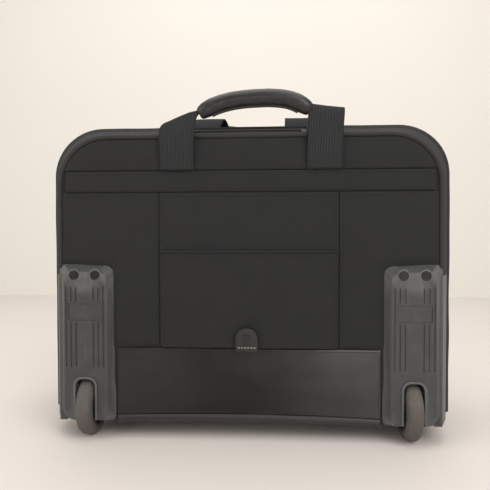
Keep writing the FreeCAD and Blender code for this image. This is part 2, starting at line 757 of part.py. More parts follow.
def bezel(fit):
    """The housing that the handle's grip drops into, and the bracket under the tubes."""
    low, high = mm.bezel_near, mm.flare_end - mm.bezel_rim
    housing = new_body("handle_housing")
    add(housing, "YZ_Plane", -mm.bezel_half, mm.bezel_half, [
        (depth(low), mm.bezel_low), (depth(high), mm.bezel_low), (depth(high), mm.top_body),
        (depth(low), mm.top_back)])
    centre = depth(mm.tube_depth)
    floor = mm.bezel_low + mm.bezel_floor
    take(housing, "XY_Plane", floor, mm.top_body + BELOW, rectangle(
        -mm.bezel_pocket_half, mm.bezel_pocket_half, centre - mm.bezel_pocket_deep / 2,
        centre + mm.bezel_pocket_deep / 2, 4, 4, 4, 4))
    half_wide = fit[0] / 2 + mm.stage_slack
    half_deep = fit[1] / 2 + mm.stage_slack
    take(housing, "XY_Plane", mm.bezel_low, floor, *[
        rectangle(side * mm.tube_line - half_wide, side * mm.tube_line + half_wide,
                  centre - half_deep, centre + half_deep, 3, 3, 3, 3) for side in (-1, 1)])
    keep(housing, "handle_housing")
    keep(block("handle_bracket", (-mm.bracket_half, mm.bracket_half),
               (centre - mm.bracket_deep / 2, depth(mm.sheet_deep - mm.seat_gap)),
               (leg_foot, mm.tube_low - mm.seat_gap)), "handle_bracket")


def grip(low):
    """The grip on the last stage, with its button, yoke, rods and springs."""
    centre = depth(mm.tube_depth)
    high = low + mm.grip_tall
    half = mm.grip_deep / 2
    body = new_body("handle_grip")
    add(body, "XY_Plane", low, high, rectangle(
        -mm.grip_half, mm.grip_half, centre - half, centre + half, 5, 5, 5, 5))
    wall = mm.grip_wall
    floor = low + wall
    take(body, "XY_Plane", floor, high - wall, rectangle(
        -mm.grip_half + wall, mm.grip_half - wall, centre - half + wall, centre + half - wall))
    slack = mm.button_slack
    button_half = mm.button_deep / 2
    take(body, "XY_Plane", high - wall, high, rectangle(
        -mm.button_half - slack, mm.button_half + slack,
        centre - button_half - slack, centre + button_half + slack, 2, 2, 2, 2))
    rods = [((side * mm.tube_line, centre), mm.rod_round + slack) for side in (-1, 1)]
    take(body, "XY_Plane", low, floor, *rods)
    keep(body, "handle_grip")

    yoke_low = floor + mm.button_travel + 1.2
    yoke_high = yoke_low + mm.yoke_tall
    button = new_body("handle_button")
    add(button, "XY_Plane", yoke_high, high + mm.button_proud, rectangle(
        -mm.button_half, mm.button_half, centre - button_half, centre + button_half, 2, 2, 2, 2))
    add(button, "XY_Plane", yoke_low, yoke_high, rectangle(
        -mm.yoke_half, mm.yoke_half, centre - 3, centre + 3))
    keep(button, "handle_button")
    group("button_rods", [
        rod(f"button_rod_{number}", mm.rod_round, yoke_low - mm.tube_low - BELOW,
            (side * mm.tube_line, centre, mm.tube_low + BELOW))
        for number, side in enumerate((-1, 1), start=1)])
    springs = []
    for number, side in enumerate((-1, 1), start=1):
        spring = new_body(f"button_spring_{number}")
        revolve(spring, "XZ_Plane", "Z_Axis", wave(yoke_low - floor))
        springs.append(place(spring, side * mm.spring_line, centre, floor))
    group("button_springs", springs)


def wave(tall):
    """Return the section of a folded spring sleeve that stands tall."""
    folds = 6
    wall, swing = mm.spring_wall, mm.spring_swing
    middle = mm.spring_round
    inner = [(middle + swing * (step % 2), tall * step / folds) for step in range(folds + 1)]
    outer = [(x + wall, z) for x, z in reversed(inner)]
    return inner + outer


def inside():
    """The padded laptop sleeve with its closing strap."""
    near = mm.sheet_deep + mm.sheet_thick + mm.seat_gap
    far = near + mm.laptop_deep
    sleeve = new_body("laptop_sleeve")
    half, wall = mm.laptop_half, mm.fabric
    add(sleeve, "XZ_Plane", depth(near), depth(far),
        rectangle(-half, half, laptop_low, mm.laptop_high))
    take(sleeve, "XZ_Plane", depth(near + wall), depth(far - wall),
         rectangle(-half + wall, half - wall, laptop_low + wall, mm.laptop_high + BELOW))
    keep(sleeve, "laptop_sleeve")
    strap = new_body("laptop_strap")
    add(strap, "YZ_Plane", -mm.closure_half, mm.closure_half, [
        (depth(near), mm.laptop_high + mm.seat_gap),
        (depth(far + mm.tape), mm.laptop_high + mm.seat_gap),
        (depth(far + mm.tape), mm.laptop_high + mm.seat_gap + mm.tape),
        (depth(near), mm.laptop_high + mm.seat_gap + mm.tape)])
    keep(strap, "laptop_strap")


def back_handle():
    """The back carry handle: web straps on stitched patches, folding in to an arched grip."""
    line = -mm.seat_gap - mm.strap_off - mm.strap_thick / 2
    half = mm.strap_thick / 2
    foot = mm.band_high + mm.strap_seam
    fold = mm.top_back + mm.strap_rise
    inner, outer = mm.strap_inner, mm.strap_inner + mm.strap_wide
    straps, patches = [], []
    for number, side in enumerate((-1, 1), start=1):
        strap = new_body(f"back_handle_strap_{number}")
        add(strap, "XZ_Plane", depth(line - half), depth(line + half), [
            (inner * side, foot), (outer * side, foot), (outer * side, fold),
            ((outer - mm.strap_lean) * side, mm.strap_high),
            ((inner - mm.strap_lean) * side, mm.strap_high), (inner * side, fold)])
        straps.append(strap)
        patch_low = mm.band_high + mm.seat_gap
        patches.append(block(
            f"strap_patch_{number}", (side * inner, side * outer)[::side],
            (depth(mm.seat_gap - mm.strap_off), depth(-mm.seat_gap)),
            (patch_low, patch_low + mm.patch_tall)))
    group("back_handle_straps", straps)
    group("strap_patches", patches)
    cord_edge("back_handle_grip", mm.carry_half, mm.carry_top - mm.carry_round, mm.carry_turn,
              mm.strap_high + mm.seat_gap, depth(line + mm.carry_inward), mm.carry_round)


def front_handle():
    """The front carry handle, which lies over the bag's top towards the front."""
    foot = mm.top_body + mm.strap_seam
    line, thick = mm.front_line, mm.strap_thick
    crest = line + mm.front_reach
    top = mm.top_body + mm.front_rise
    end, low = crest + mm.front_fall, top - mm.front_drop
    straps = []
    for number, side in enumerate((-1, 1), start=1):
        strap = new_body(f"front_handle_strap_{number}")
        spans = sorted((side * mm.front_inner, side * (mm.front_inner + mm.strap_wide)),
                       key=lambda size: size.value)
        add(strap, "YZ_Plane", *spans, [
            (depth(line - thick / 2), foot), (depth(line + thick / 2), foot),
            (depth(crest + thick / 2), top - thick), (depth(end), low - thick),
            (depth(end), low), (depth(crest), top)])
        straps.append(strap)
    group("front_handle_straps", straps)
    grip_half = mm.front_inner + mm.strap_wide / 2
    body = cord_edge("front_handle_grip", grip_half, mm.front_grip_long, mm.carry_turn,
                     mm.seat_gap, 0, mm.carry_round)
    place(body, 0, depth(end + mm.seat_gap), low - thick / 2,
          FreeCAD.Vector(1, 0, 0), -SIZES["front_grip_tilt"])


def lid():
    """The front section that hinges down, with its pocket."""
    gap = mm.seat_gap
    hoop("lid_zip_tape", inset_shape(body_shape), inset_shape(body_shape),
         mm.mouth + gap, lid_zip_end, leg_foot, pan_top - BELOW, mm.tape)
    gusset = hoop("lid_gusset", body_shape, front_shape, lid_zip_end + gap,
                  mm.lid_end - mm.panel - gap, mm.pan_low, pan_top, mm.fabric)
    add(gusset, "XY_Plane", mm.pan_low, pan_top, rectangle(
        -mm.half_body, mm.half_body, depth(mm.mouth + gap), depth(lid_zip_end + 2 * gap)))
    panel = new_body("lid_panel")
    inset = mm.piping_round + gap
    add(panel, "XZ_Plane", depth(mm.lid_end - mm.panel), depth(mm.lid_end), arch(
        mm.half_front - inset, mm.top_front - inset, mm.corner_round - inset, mm.pan_low))
    keep(panel, "lid_panel")
    cord_edge("lid_piping", mm.half_front, mm.top_front, mm.corner_round, mm.pan_low,
              depth(mm.lid_end), mm.piping_round)
    organiser = new_body("lid_organiser")
    near = mm.lid_end - mm.panel - gap - mm.fabric
    half = mm.pocket_half
    add(organiser, "XZ_Plane", depth(near), depth(near + mm.fabric), rectangle(
        -half, half, mm.pocket_low, mm.organiser_high))
    keep(organiser, "lid_organiser")

    pocket = new_body("front_pocket")
    outer = rectangle(-half, half, mm.pocket_low, mm.pocket_high,
                      mm.pocket_round, mm.pocket_round, 8, 8)
    add(pocket, "XZ_Plane", depth(mm.lid_end + gap), depth(pocket_face), outer)
    wall = mm.tape
    take(pocket, "XZ_Plane", depth(mm.lid_end), depth(pocket_face - wall), rectangle(
        -half + wall, half - wall, mm.pocket_low + wall, mm.pocket_high - wall,
        mm.pocket_round - wall, mm.pocket_round - wall, 8 - wall, 8 - wall))
    keep(pocket, "front_pocket")


def slider(name, spot, across, outward, along):
    """A zip slider with its bridge and pull.

    across, outward and along are where its width, its face and its length point; the pull lies
    against along.
    """
    turn = FreeCAD.Rotation(*(FreeCAD.Vector(*way) for way in (across, outward, along)), "XYZ")
    body = new_body(f"{name}_slider")
    add(body, "XZ_Plane", 0, mm.slider_base, rectangle(
        -mm.slider_half, mm.slider_half, -mm.slider_tall, mm.slider_tall, 2, 2, 2, 2))
    top = mm.slider_base + mm.bridge_tall
    post = mm.slider_tall - mm.bridge_inset
    add(body, "YZ_Plane", -mm.bridge_half, mm.bridge_half, rectangle(
        mm.slider_base, top, -post, post))
    take(body, "YZ_Plane", -mm.bridge_half, mm.bridge_half, rectangle(
        mm.slider_base, mm.slider_base + mm.bridge_hole, -post / 2, post / 2))
    pull = new_body(f"{name}_pull")
    middle = mm.slider_base + mm.bridge_hole / 2
    bar = mm.pull_thick / 2
    add(pull, "XZ_Plane", middle - bar, middle + bar, rectangle(
        -mm.pull_half, mm.pull_half, -mm.pull_long, bar, 3, 3, bar, bar))
    take(pull, "XZ_Plane", middle - bar, middle + bar, rectangle(
        -mm.eye_half, mm.eye_half, -mm.slider_tall, -bar))
    for piece in (body, pull):
        piece.Placement = FreeCAD.Placement(FreeCAD.Vector(), turn)
        keep(place(piece, *spot), piece.Name)


def sliders():
    """Every zip slider and pull."""
    gap = mm.seat_gap
    right, back, up = (1, 0, 0), (0, 1, 0), (0, 0, 1)
    left, front = (-1, 0, 0), (0, -1, 0)
    sunk = gap - mm.tape_sunk
    tape = depth((mm.flare_end + gap + back_zip_end) / 2)
    slider("back_zip", (mm.half_body + sunk, tape, mm.back_slider_high), front, right, up)
    top = mm.top_body + sunk
    seam = depth(mm.mouth)
    slider("main_left", (-mm.main_slider_line, seam, top), back, up, right)
    slider("main_right", (mm.main_slider_line, seam, top), front, up, left)
    slider("pocket", (mm.pocket_slider_line, depth(pocket_face) + gap,
                      mm.pocket_high - mm.slider_drop), up, back, left)


def check_and_write():
    """Stop on any broken object, then write each sub-part."""
    doc.recompute()
    broken = [thing.Name for thing in doc.Objects
              if "Invalid" in thing.State or "Error" in thing.State]
    broken += [part.Label for part in parts if part.Shape.isNull() or not part.Shape.isValid()]
    loose = [thing.Name for thing in doc.Objects
             if thing.TypeId == "Sketcher::SketchObject" and not thing.FullyConstrained]
    if broken or loose:
        raise RuntimeError(f"broken: {broken}, loose: {loose}")
    os.makedirs("parts", exist_ok=True)
    for part in parts:
        part.Shape.exportStep(f"parts/{part.Label}.step")


back_shell()
trolley_sleeve()
guards()
carcass()
wheels()
telescope()
inside()
back_handle()
front_handle()
lid()
sliders()
check_and_write()
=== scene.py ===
"""The looks of a rolling laptop case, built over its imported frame.

Lengths are in metres, unless a docstring says millimetres. Places come from the frame's boxes, and
the few layers that are sewn a little off their frame nodes say so. Sub-assemblies are classes
whose build method makes their pieces.
"""

import json
import logging
import math
from dataclasses import dataclass
from enum import Enum
from functools import cache
from typing import Callable, Sequence

import bmesh
import bpy
from mathutils import Matrix, Vector
from mathutils.noise import noise as noise_at

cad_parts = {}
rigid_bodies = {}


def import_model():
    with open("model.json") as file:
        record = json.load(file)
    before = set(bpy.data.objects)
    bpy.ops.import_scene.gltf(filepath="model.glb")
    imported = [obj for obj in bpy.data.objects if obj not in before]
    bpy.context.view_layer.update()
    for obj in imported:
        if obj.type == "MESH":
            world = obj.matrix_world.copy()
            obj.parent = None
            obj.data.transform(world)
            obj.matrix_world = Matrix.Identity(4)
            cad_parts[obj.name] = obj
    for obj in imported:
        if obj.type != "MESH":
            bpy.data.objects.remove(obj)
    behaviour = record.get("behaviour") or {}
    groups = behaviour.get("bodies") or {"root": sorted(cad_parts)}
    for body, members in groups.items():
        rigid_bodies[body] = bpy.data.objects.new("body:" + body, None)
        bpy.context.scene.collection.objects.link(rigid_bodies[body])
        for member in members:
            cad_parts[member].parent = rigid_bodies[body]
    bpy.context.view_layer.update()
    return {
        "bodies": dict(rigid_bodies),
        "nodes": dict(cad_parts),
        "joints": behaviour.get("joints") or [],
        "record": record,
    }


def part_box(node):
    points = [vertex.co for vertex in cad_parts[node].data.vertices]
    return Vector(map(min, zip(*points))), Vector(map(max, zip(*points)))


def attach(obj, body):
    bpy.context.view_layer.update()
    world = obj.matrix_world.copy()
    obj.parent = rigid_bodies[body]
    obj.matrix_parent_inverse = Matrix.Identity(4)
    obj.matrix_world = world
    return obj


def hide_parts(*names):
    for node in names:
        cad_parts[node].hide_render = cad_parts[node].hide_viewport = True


LOG = logging.getLogger("case")
MM = 0.001
SIDE_STEPS, TURN_STEPS, TOP_STEPS = 44, 14, 16  # along the sides, each corner and parts of the top
MARK = SIDE_STEPS + TURN_STEPS + TOP_STEPS  # the walk's place where its mark lies

CORNER = 54 * MM  # the outline's corner radius
SHELL_STEPS, SHELL_THICK = 14, 3 * MM  # runs along a gusset's outer face, and its thickness
SEWN_UP = 4.4 * MM  # how much higher the band's lower edge is sewn than its frame node's
SEWN_RIGHT = 1.6 * MM  # how much further right the centre layers are sewn than their nodes
FACTOR, FIRST, SECOND, MIXED = 0, 6, 7, 2  # where the Mix node keeps its colour sockets

Grid = list[list[Vector]]
Colour = tuple[float, float, float]
Rows = tuple[tuple[float, ...], ...]


class Slot(Enum):
    """The record's material slots."""

    FABRIC = "woven_fabric"
    VINYL = "glossy_vinyl"
    LEATHER = "soft_leather"
    WEBBING = "webbing"
    ZIP_TAPE = "zip_tape"
    LINING = "lining"
    GUARD = "guard_plastic"
    INNER = "inner_plastic"
    TYRE = "tyre"
    HUB = "hub_plastic"
    STEEL = "steel"
    SCREW = "dark_screw"
    ZIP_METAL = "zip_metal"
    TUBE = "tube_aluminium"
    GRIP = "grip_plastic"
    FOOT = "rubber_foot"


class Extra(Enum):
    """Finishes that no slot of the record has."""

    THREAD = "thread"
    PALE_THREAD = "pale_thread"
    PIPING = "piping"
    COIL = "coil"
    TRIM = "trim"


class Side(Enum):
    """A panel's four sides."""

    LOW = "low"
    HIGH = "high"
    LEFT = "left"
    RIGHT = "right"


# ---------------------------------------------------------------------------------------------
# Shader building


class Wire:
    """A shader socket that takes part in arithmetic."""

    def __init__(self, graph: "Graph", socket: bpy.types.NodeSocket) -> None:
        """Hold a socket of a graph."""
        self.graph = graph
        self.socket = socket

    def maths(self, operation: str, *others: "Wire | float") -> "Wire":
        """Return the result of a maths node fed by this socket and others.

        Args:
            operation: the maths node's operation.
            others: its further operands.

        Returns:
            The node's output.
        """
        return self.graph.add("ShaderNodeMath", {"operation": operation}, self, *others)

    def __add__(self, other: "Wire | float") -> "Wire":
        """Return this value plus another."""
        return self.maths("ADD", other)

    def __sub__(self, other: "Wire | float") -> "Wire":
        """Return this value less another."""
        return self.maths("SUBTRACT", other)

    def __mul__(self, other: "Wire | float") -> "Wire":
        """Return this value times another."""
        return self.maths("MULTIPLY", other)

    def __truediv__(self, other: "Wire | float") -> "Wire":
        """Return this value over another."""
        return self.maths("DIVIDE", other)

    def __rsub__(self, other: float) -> "Wire":
        """Return a number less this value."""
        return self.graph.value(other).maths("SUBTRACT", self)

    def __rtruediv__(self, other: float) -> "Wire":
        """Return a number over this value."""
        return self.graph.value(other).maths("DIVIDE", self)

    __radd__ = __add__
    __rmul__ = __mul__

    def __abs__(self) -> "Wire":
        """Return this value without its sign."""
        return self.maths("ABSOLUTE")

    def sine(self) -> "Wire":
        """Return the sine of this value."""
        return self.maths("SINE")

    def clamp(self) -> "Wire":
        """Return this value held between 0 and 1."""
        return self.maths("MAXIMUM", 0.0).maths("MINIMUM", 1.0)

    def ramp(self, low: float, high: float) -> "Wire":
        """Return 0 under low, 1 over high and a straight run between."""
        return ((self - low) / (high - low)).clamp()


class Graph:
    """A material's node tree."""

    def __init__(self, name: str) -> None:
        """Make a material with an empty tree.

        Args:
            name: the material's name.
        """
        self.material = bpy.data.materials.new(name)
        self.material.use_nodes = True
        self.tree = self.material.node_tree
        self.shader = self.tree.nodes["Principled BSDF"]

    def add(self, kind: str, settings: dict, *inputs: Wire | float | tuple | None,
            output: int | str = 0) -> Wire:
        """Add a node.

        Args:
            kind: the node's type.
            settings: its properties.
            inputs: what feeds its inputs in order, or None to leave one alone.
            output: the output to return.

        Returns:
            That output.
        """
        node = self.tree.nodes.new(kind)
        for key, setting in settings.items():
            setattr(node, key, setting)
        for socket, source in zip(node.inputs, inputs):
            if isinstance(source, Wire):
                self.tree.links.new(source.socket, socket)
            elif source is not None:
                socket.default_value = source
        return Wire(self, node.outputs[output])

    def value(self, number: float) -> Wire:
        """Return a constant.

        Args:
            number: its value.

        Returns:
            The constant.
        """
        wire = self.add("ShaderNodeValue", {})
        wire.socket.default_value = number
        return wire

    def uv(self) -> tuple[Wire, Wire]:
        """Read the two lengths, in metres, that a piece's UV map holds.

        Returns:
            Both lengths.
        """
        coordinate = self.add("ShaderNodeUVMap", {})
        split = self.add("ShaderNodeSeparateXYZ", {}, coordinate)
        return split, Wire(self, split.socket.node.outputs[1])

    def place(self) -> tuple[Wire, Wire, Wire, Wire]:
        """Read the place in the frame.

        Returns:
            The place as a vector, then its x, y and z.
        """
        vector = self.add("ShaderNodeTexCoord", {}, output="Object")
        split = self.add("ShaderNodeSeparateXYZ", {}, vector).socket.node
        return vector, *(Wire(self, socket) for socket in split.outputs)

    def noise(self, scale: float, detail: float = 3.0, stretch: tuple = (1, 1, 1)) -> Wire:
        """Return smooth noise from 0 to 1 over the frame.

        Args:
            scale: features to the metre.
            detail: octaves.
            stretch: how much finer the noise is along each axis.

        Returns:
            The noise.
        """
        vector = self.place()[0]
        scaled = self.add("ShaderNodeVectorMath", {"operation": "MULTIPLY"}, vector, stretch)
        wire = self.add("ShaderNodeTexNoise", {}, scaled)
        wire.socket.node.inputs["Scale"].default_value = scale
        wire.socket.node.inputs["Detail"].default_value = detail
        return wire

    def mix(self, factor: Wire, first: Colour, second: Colour) -> Wire:
        """Mix two colours.

        Args:
            factor: 0 for the first colour, 1 for the second.
            first: one colour.
            second: the other.

        Returns:
            The mixed colour.
        """
        node = self.tree.nodes.new("ShaderNodeMix")
        node.data_type = "RGBA"
        self.tree.links.new(factor.socket, node.inputs[FACTOR])
        node.inputs[FIRST].default_value = (*first, 1.0)
        node.inputs[SECOND].default_value = (*second, 1.0)
        return Wire(self, node.outputs[MIXED])

    def feed(self, name: str, source: Wire | float | tuple) -> None:
        """Feed an input of the surface shader.

        Args:
            name: the input.
            source: what feeds it: a link, or a fixed value.
        """
        if isinstance(source, Wire):
            self.tree.links.new(source.socket, self.shader.inputs[name])
        else:
            self.shader.inputs[name].default_value = source

    def bump(self, height: Wire, depth: float) -> None:
        """Raise the surface.

        Args:
            height: the relief, about 0 to 1.
            depth: what a height of 1 stands for, in metres.
        """
        node = self.tree.nodes.new("ShaderNodeBump")
        node.inputs["Strength"].default_value = 1.0
        node.inputs["Distance"].default_value = depth
        self.tree.links.new(height.socket, node.inputs["Height"])
        self.tree.links.new(node.outputs[0], self.shader.inputs["Normal"])

    def edges(self) -> Wire:
        """Return how far a place lies on an outer edge, from 0 to 1."""
        point = self.add("ShaderNodeNewGeometry", {}, output="Pointiness")
        return point.ramp(0.508, 0.56)


def grey(level: float, warm: float = 0.0) -> tuple[float, float, float]:
    """Return a grey, a little warm or cold."""
    return (level * (1 + warm), level, level * (1 - warm))


# ---------------------------------------------------------------------------------------------
# Finishes


@dataclass(frozen=True)
class Weave:
    """Woven cloth drawn over a piece's UV lengths.

    Attributes:
        base: its middle brightness.
        warm: how much red it holds over blue.
        pitch: thread spacing.
        depth: thread height.
        rough: roughness.
        sheen: how much fuzz it has.
        mapped: whether the piece has a UV map; a frame node has none.
    """

    base: float = 0.0185
    warm: float = -0.03
    pitch: float = 0.9 * MM
    depth: float = 0.12 * MM
    rough: float = 0.82
    sheen: float = 0.05
    mapped: bool = True

    def make(self, name: str) -> bpy.types.Material:
        """Return the material.

        Args:
            name: the material's name.

        Returns:
            The material.
        """
        graph = Graph(name)
        turn = 2 * math.pi / self.pitch
        if self.mapped:
            along, across = graph.uv()
        else:
            _, side, deep, high = graph.place()
            along, across = side + deep, high + deep * 0.5
        warp = (along * turn).sine()
        weft = (across * turn).sine()
        basket = warp * weft * 0.5 + 0.5
        fibre = graph.noise(1800.0, 2.0)
        cloud = graph.noise(14.0, 4.0)
        patch = graph.noise(55.0, 3.0)
        tone = cloud * 0.45 + patch * 0.25 + basket * 0.2 + fibre * 0.15
        dark = grey(self.base * 0.72, self.warm)
        light = grey(self.base * 1.3, self.warm)
        graph.feed("Base Color", graph.mix(tone.clamp(), dark, light))
        graph.feed("Roughness", (cloud * 0.12 + (self.rough - 0.06)).clamp())
        graph.feed("Specular IOR Level", 0.2)
        graph.feed("Sheen Weight", self.sheen)
        graph.feed("Sheen Roughness", 0.5)
        graph.bump(basket + fibre * 0.35 + patch * 0.5, self.depth)
        return graph.material


@dataclass(frozen=True)
class Ribbed:
    """Webbing with ribs along its length, over UV lengths."""

    base: float = 0.02
    rib: float = 2.9 * MM
    cross: float = 1.1 * MM

    def make(self, name: str) -> bpy.types.Material:
        """Return the material.

        Args:
            name: the material's name.

        Returns:
            The material.
        """
        graph = Graph(name)
        across, along = graph.uv()
        rib = abs((across * (math.pi / self.rib)).sine())
        pick = ((along * (2 * math.pi / self.cross)).sine()
                * (across * (2 * math.pi / self.rib)).sine() * 0.5 + 0.5)
        fibre = graph.noise(1500.0, 2.0)
        tone = (rib * 0.5 + pick * 0.35 + fibre * 0.2).clamp()
        dark, light = grey(self.base * 0.3, -0.05), grey(self.base * 1.6, -0.07)
        graph.feed("Base Color", graph.mix(tone, dark, light))
        graph.feed("Roughness", 0.72)
        graph.feed("Specular IOR Level", 0.25)
        graph.bump(rib + pick * 0.45 + fibre * 0.15, 0.5 * MM)
        return graph.material


@dataclass(frozen=True)
class Hide:
    """Leather or coated sheet with grain, a clear coat and rubbed places; the coat can carry a painted
    reflection that is strongest at the sides and weakest in the middle.
    """

    base: float = 0.0145
    warm: float = 0.05
    rough: float = 0.36
    grain: float = 520.0
    depth: float = 0.1 * MM
    worn: float = 0.25
    coat: float = 0.2
    gloss: float = 0.0

    def make(self, name: str) -> bpy.types.Material:
        """Return the material.

        Args:
            name: the material's name.

        Returns:
            The material.
        """
        graph = Graph(name)
        cell = graph.add("ShaderNodeTexVoronoi", {"feature": "DISTANCE_TO_EDGE"}, graph.place()[0])
        cell.socket.node.inputs["Scale"].default_value = self.grain
        pores = cell.ramp(0.0, 0.35)
        cloud = graph.noise(18.0, 4.0)
        rub = graph.noise(42.0, 5.0, (1, 1, 2.5)).ramp(0.5, 0.75)
        edge = graph.edges()
        dark = grey(self.base * 0.75, self.warm)
        light = grey(self.base * 1.9, self.warm)
        wear = (rub * self.worn + edge * 0.6 * self.worn * 2 + cloud * 0.25).clamp()
        graph.feed("Base Color", graph.mix(wear, dark, light))
        graph.feed("Roughness", (rub * 0.18 + cloud * 0.12 + (self.rough - 0.1)).clamp())
        # painted reflection: the clear coat's weight rises towards the right side and, less, towards the
        # left, with random patches, so the middle reflects least
        _, across, _, _ = graph.place()
        right = across.ramp(0.02, 0.13)
        left = (0.0 - across).ramp(0.05, 0.14)
        painted_reflection = (right + left * 0.4) * self.gloss + (cloud - 0.5) * self.gloss * 0.5
        graph.feed("Coat Weight", (painted_reflection + self.coat).clamp())
        graph.feed("Specular IOR Level", 0.3)
        graph.feed("Coat Roughness", 0.3)
        graph.bump(pores * 0.7 + cloud * 2.0 + rub * 0.3, self.depth)
        return graph.material


@dataclass(frozen=True)
class Moulded:
    """Moulded plastic or rubber with a fine grain, scuffs and paler edges."""

    base: float = 0.06
    warm: float = 0.03
    rough: float = 0.5
    grain: float = 2600.0
    depth: float = 0.05 * MM
    edge: float = 0.5
    scuff: float = 0.35

    def make(self, name: str) -> bpy.types.Material:
        """Return the material.

        Args:
            name: the material's name.

        Returns:
            The material.
        """
        graph = Graph(name)
        fine = graph.noise(self.grain, 2.0)
        cloud = graph.noise(20.0, 4.0)
        scratch = graph.noise(160.0, 6.0, (3.0, 3.0, 0.25)).ramp(0.56, 0.72)
        dust = graph.noise(75.0, 6.0).ramp(0.52, 0.8)
        wear = (graph.edges() * self.edge + (scratch * 0.5 + dust * 0.5) * self.scuff + cloud * 0.15)
        dark = grey(self.base * 0.86, self.warm)
        light = grey(self.base * 2.6, self.warm)
        graph.feed("Base Color", graph.mix(wear.clamp(), dark, light))
        graph.feed("Roughness", (scratch * 0.15 + cloud * 0.14 + (self.rough - 0.08)).clamp())
        graph.bump(fine * 0.6 + dust * 0.4 - scratch * 0.5, self.depth)
        return graph.material


@dataclass(frozen=True)
class Metal:
    """Bare or plated metal with fine brushing."""

    base: float = 0.5
    rough: float = 0.3
    stretch: tuple[float, float, float] = (1.0, 1.0, 0.05)

    def make(self, name: str) -> bpy.types.Material:
        """Return the material.

        Args:
            name: the material's name.

        Returns:
            The material.
        """
        graph = Graph(name)
        brush = graph.noise(2200.0, 2.0, self.stretch)
        cloud = graph.noise(60.0, 3.0)
        graph.feed("Base Color", graph.mix(cloud, grey(self.base * 0.8), grey(self.base * 1.15)))
        graph.feed("Metallic", 1.0)
        graph.feed("Roughness", (brush * 0.16 + cloud * 0.1 + (self.rough - 0.1)).clamp())
        graph.bump(brush, 0.01 * MM)
        return graph.material


FINISHES = {
    Slot.FABRIC: Weave(),
    # the vinyl's coat carries a painted reflection, weaker in the middle of the kick panel and stronger
    # towards its sides
    Slot.VINYL: Hide(base=0.006, warm=0.03, rough=0.34, grain=900.0, depth=0.03 * MM, worn=0.3,
                     coat=0.0, gloss=0.95),
    Slot.LEATHER: Hide(),
    Slot.WEBBING: Ribbed(),
    Slot.ZIP_TAPE: Weave(base=0.015, pitch=0.7 * MM),
    Slot.LINING: Weave(base=0.12, warm=0.0, pitch=0.5 * MM, depth=0.04 * MM, rough=0.6),
    Slot.GUARD: Moulded(base=0.036, warm=-0.02, rough=0.5, scuff=0.5, edge=0.8),
    Slot.INNER: Moulded(base=0.012, warm=0.0, rough=0.55, scuff=0.15),
    Slot.TYRE: Moulded(base=0.07, warm=0.12, rough=0.72, grain=900.0, edge=0.1, scuff=0.5),
    Slot.HUB: Moulded(base=0.015, warm=0.0, rough=0.45),
    Slot.STEEL: Metal(base=0.55),
    Slot.SCREW: Metal(base=0.04, rough=0.42),
    Slot.ZIP_METAL: Metal(base=0.3, rough=0.34),
    Slot.TUBE: Metal(base=0.6, rough=0.28),
    Slot.GRIP: Moulded(base=0.008, warm=0.0, rough=0.62),
    Slot.FOOT: Moulded(base=0.012, warm=0.0, rough=0.8, edge=0.3),
}


EXTRA = {
    Extra.THREAD: Moulded(base=0.012, warm=0.0, rough=0.7, scuff=0.1, edge=0.0, depth=0.02 * MM),
    Extra.PALE_THREAD: Moulded(base=0.5, warm=0.1, rough=0.7, scuff=0.1, edge=0.0, depth=0.02 * MM),
    Extra.PIPING: Weave(base=0.028, warm=0.03, pitch=0.6 * MM, depth=0.06 * MM, rough=0.62),
    Extra.COIL: Moulded(base=0.012, warm=0.0, rough=0.4, scuff=0.1, edge=0.2, depth=0.02 * MM),
    Extra.TRIM: Hide(base=0.022, warm=0.06, rough=0.5, grain=800.0, depth=0.03 * MM, worn=0.2),
}


class Palette:
    """Every material, made once."""

    def __init__(self) -> None:
        """Make the materials."""
        self.extra = {extra: finish.make(extra.value) for extra, finish in EXTRA.items()}
        self.made = {slot: finish.make(slot.value) for slot, finish in FINISHES.items()}
        self.bare = Weave(mapped=False).make("frame_cloth")

    def dress_frame(self, frame: dict) -> None:
        """Give every frame node a material with its detail.

        Args:
            frame: the loaded frame.
        """
        cloth = {Slot.FABRIC, Slot.WEBBING, Slot.ZIP_TAPE, Slot.LINING}
        for sub_part in frame["record"]["subparts"]:
            slot = Slot(sub_part["material_slot"])
            material = self.bare if slot in cloth else self.made[slot]
            node = frame["nodes"][sub_part["node"]]
            for holder in node.material_slots:
                holder.material = material


# ---------------------------------------------------------------------------------------------
# Shapes


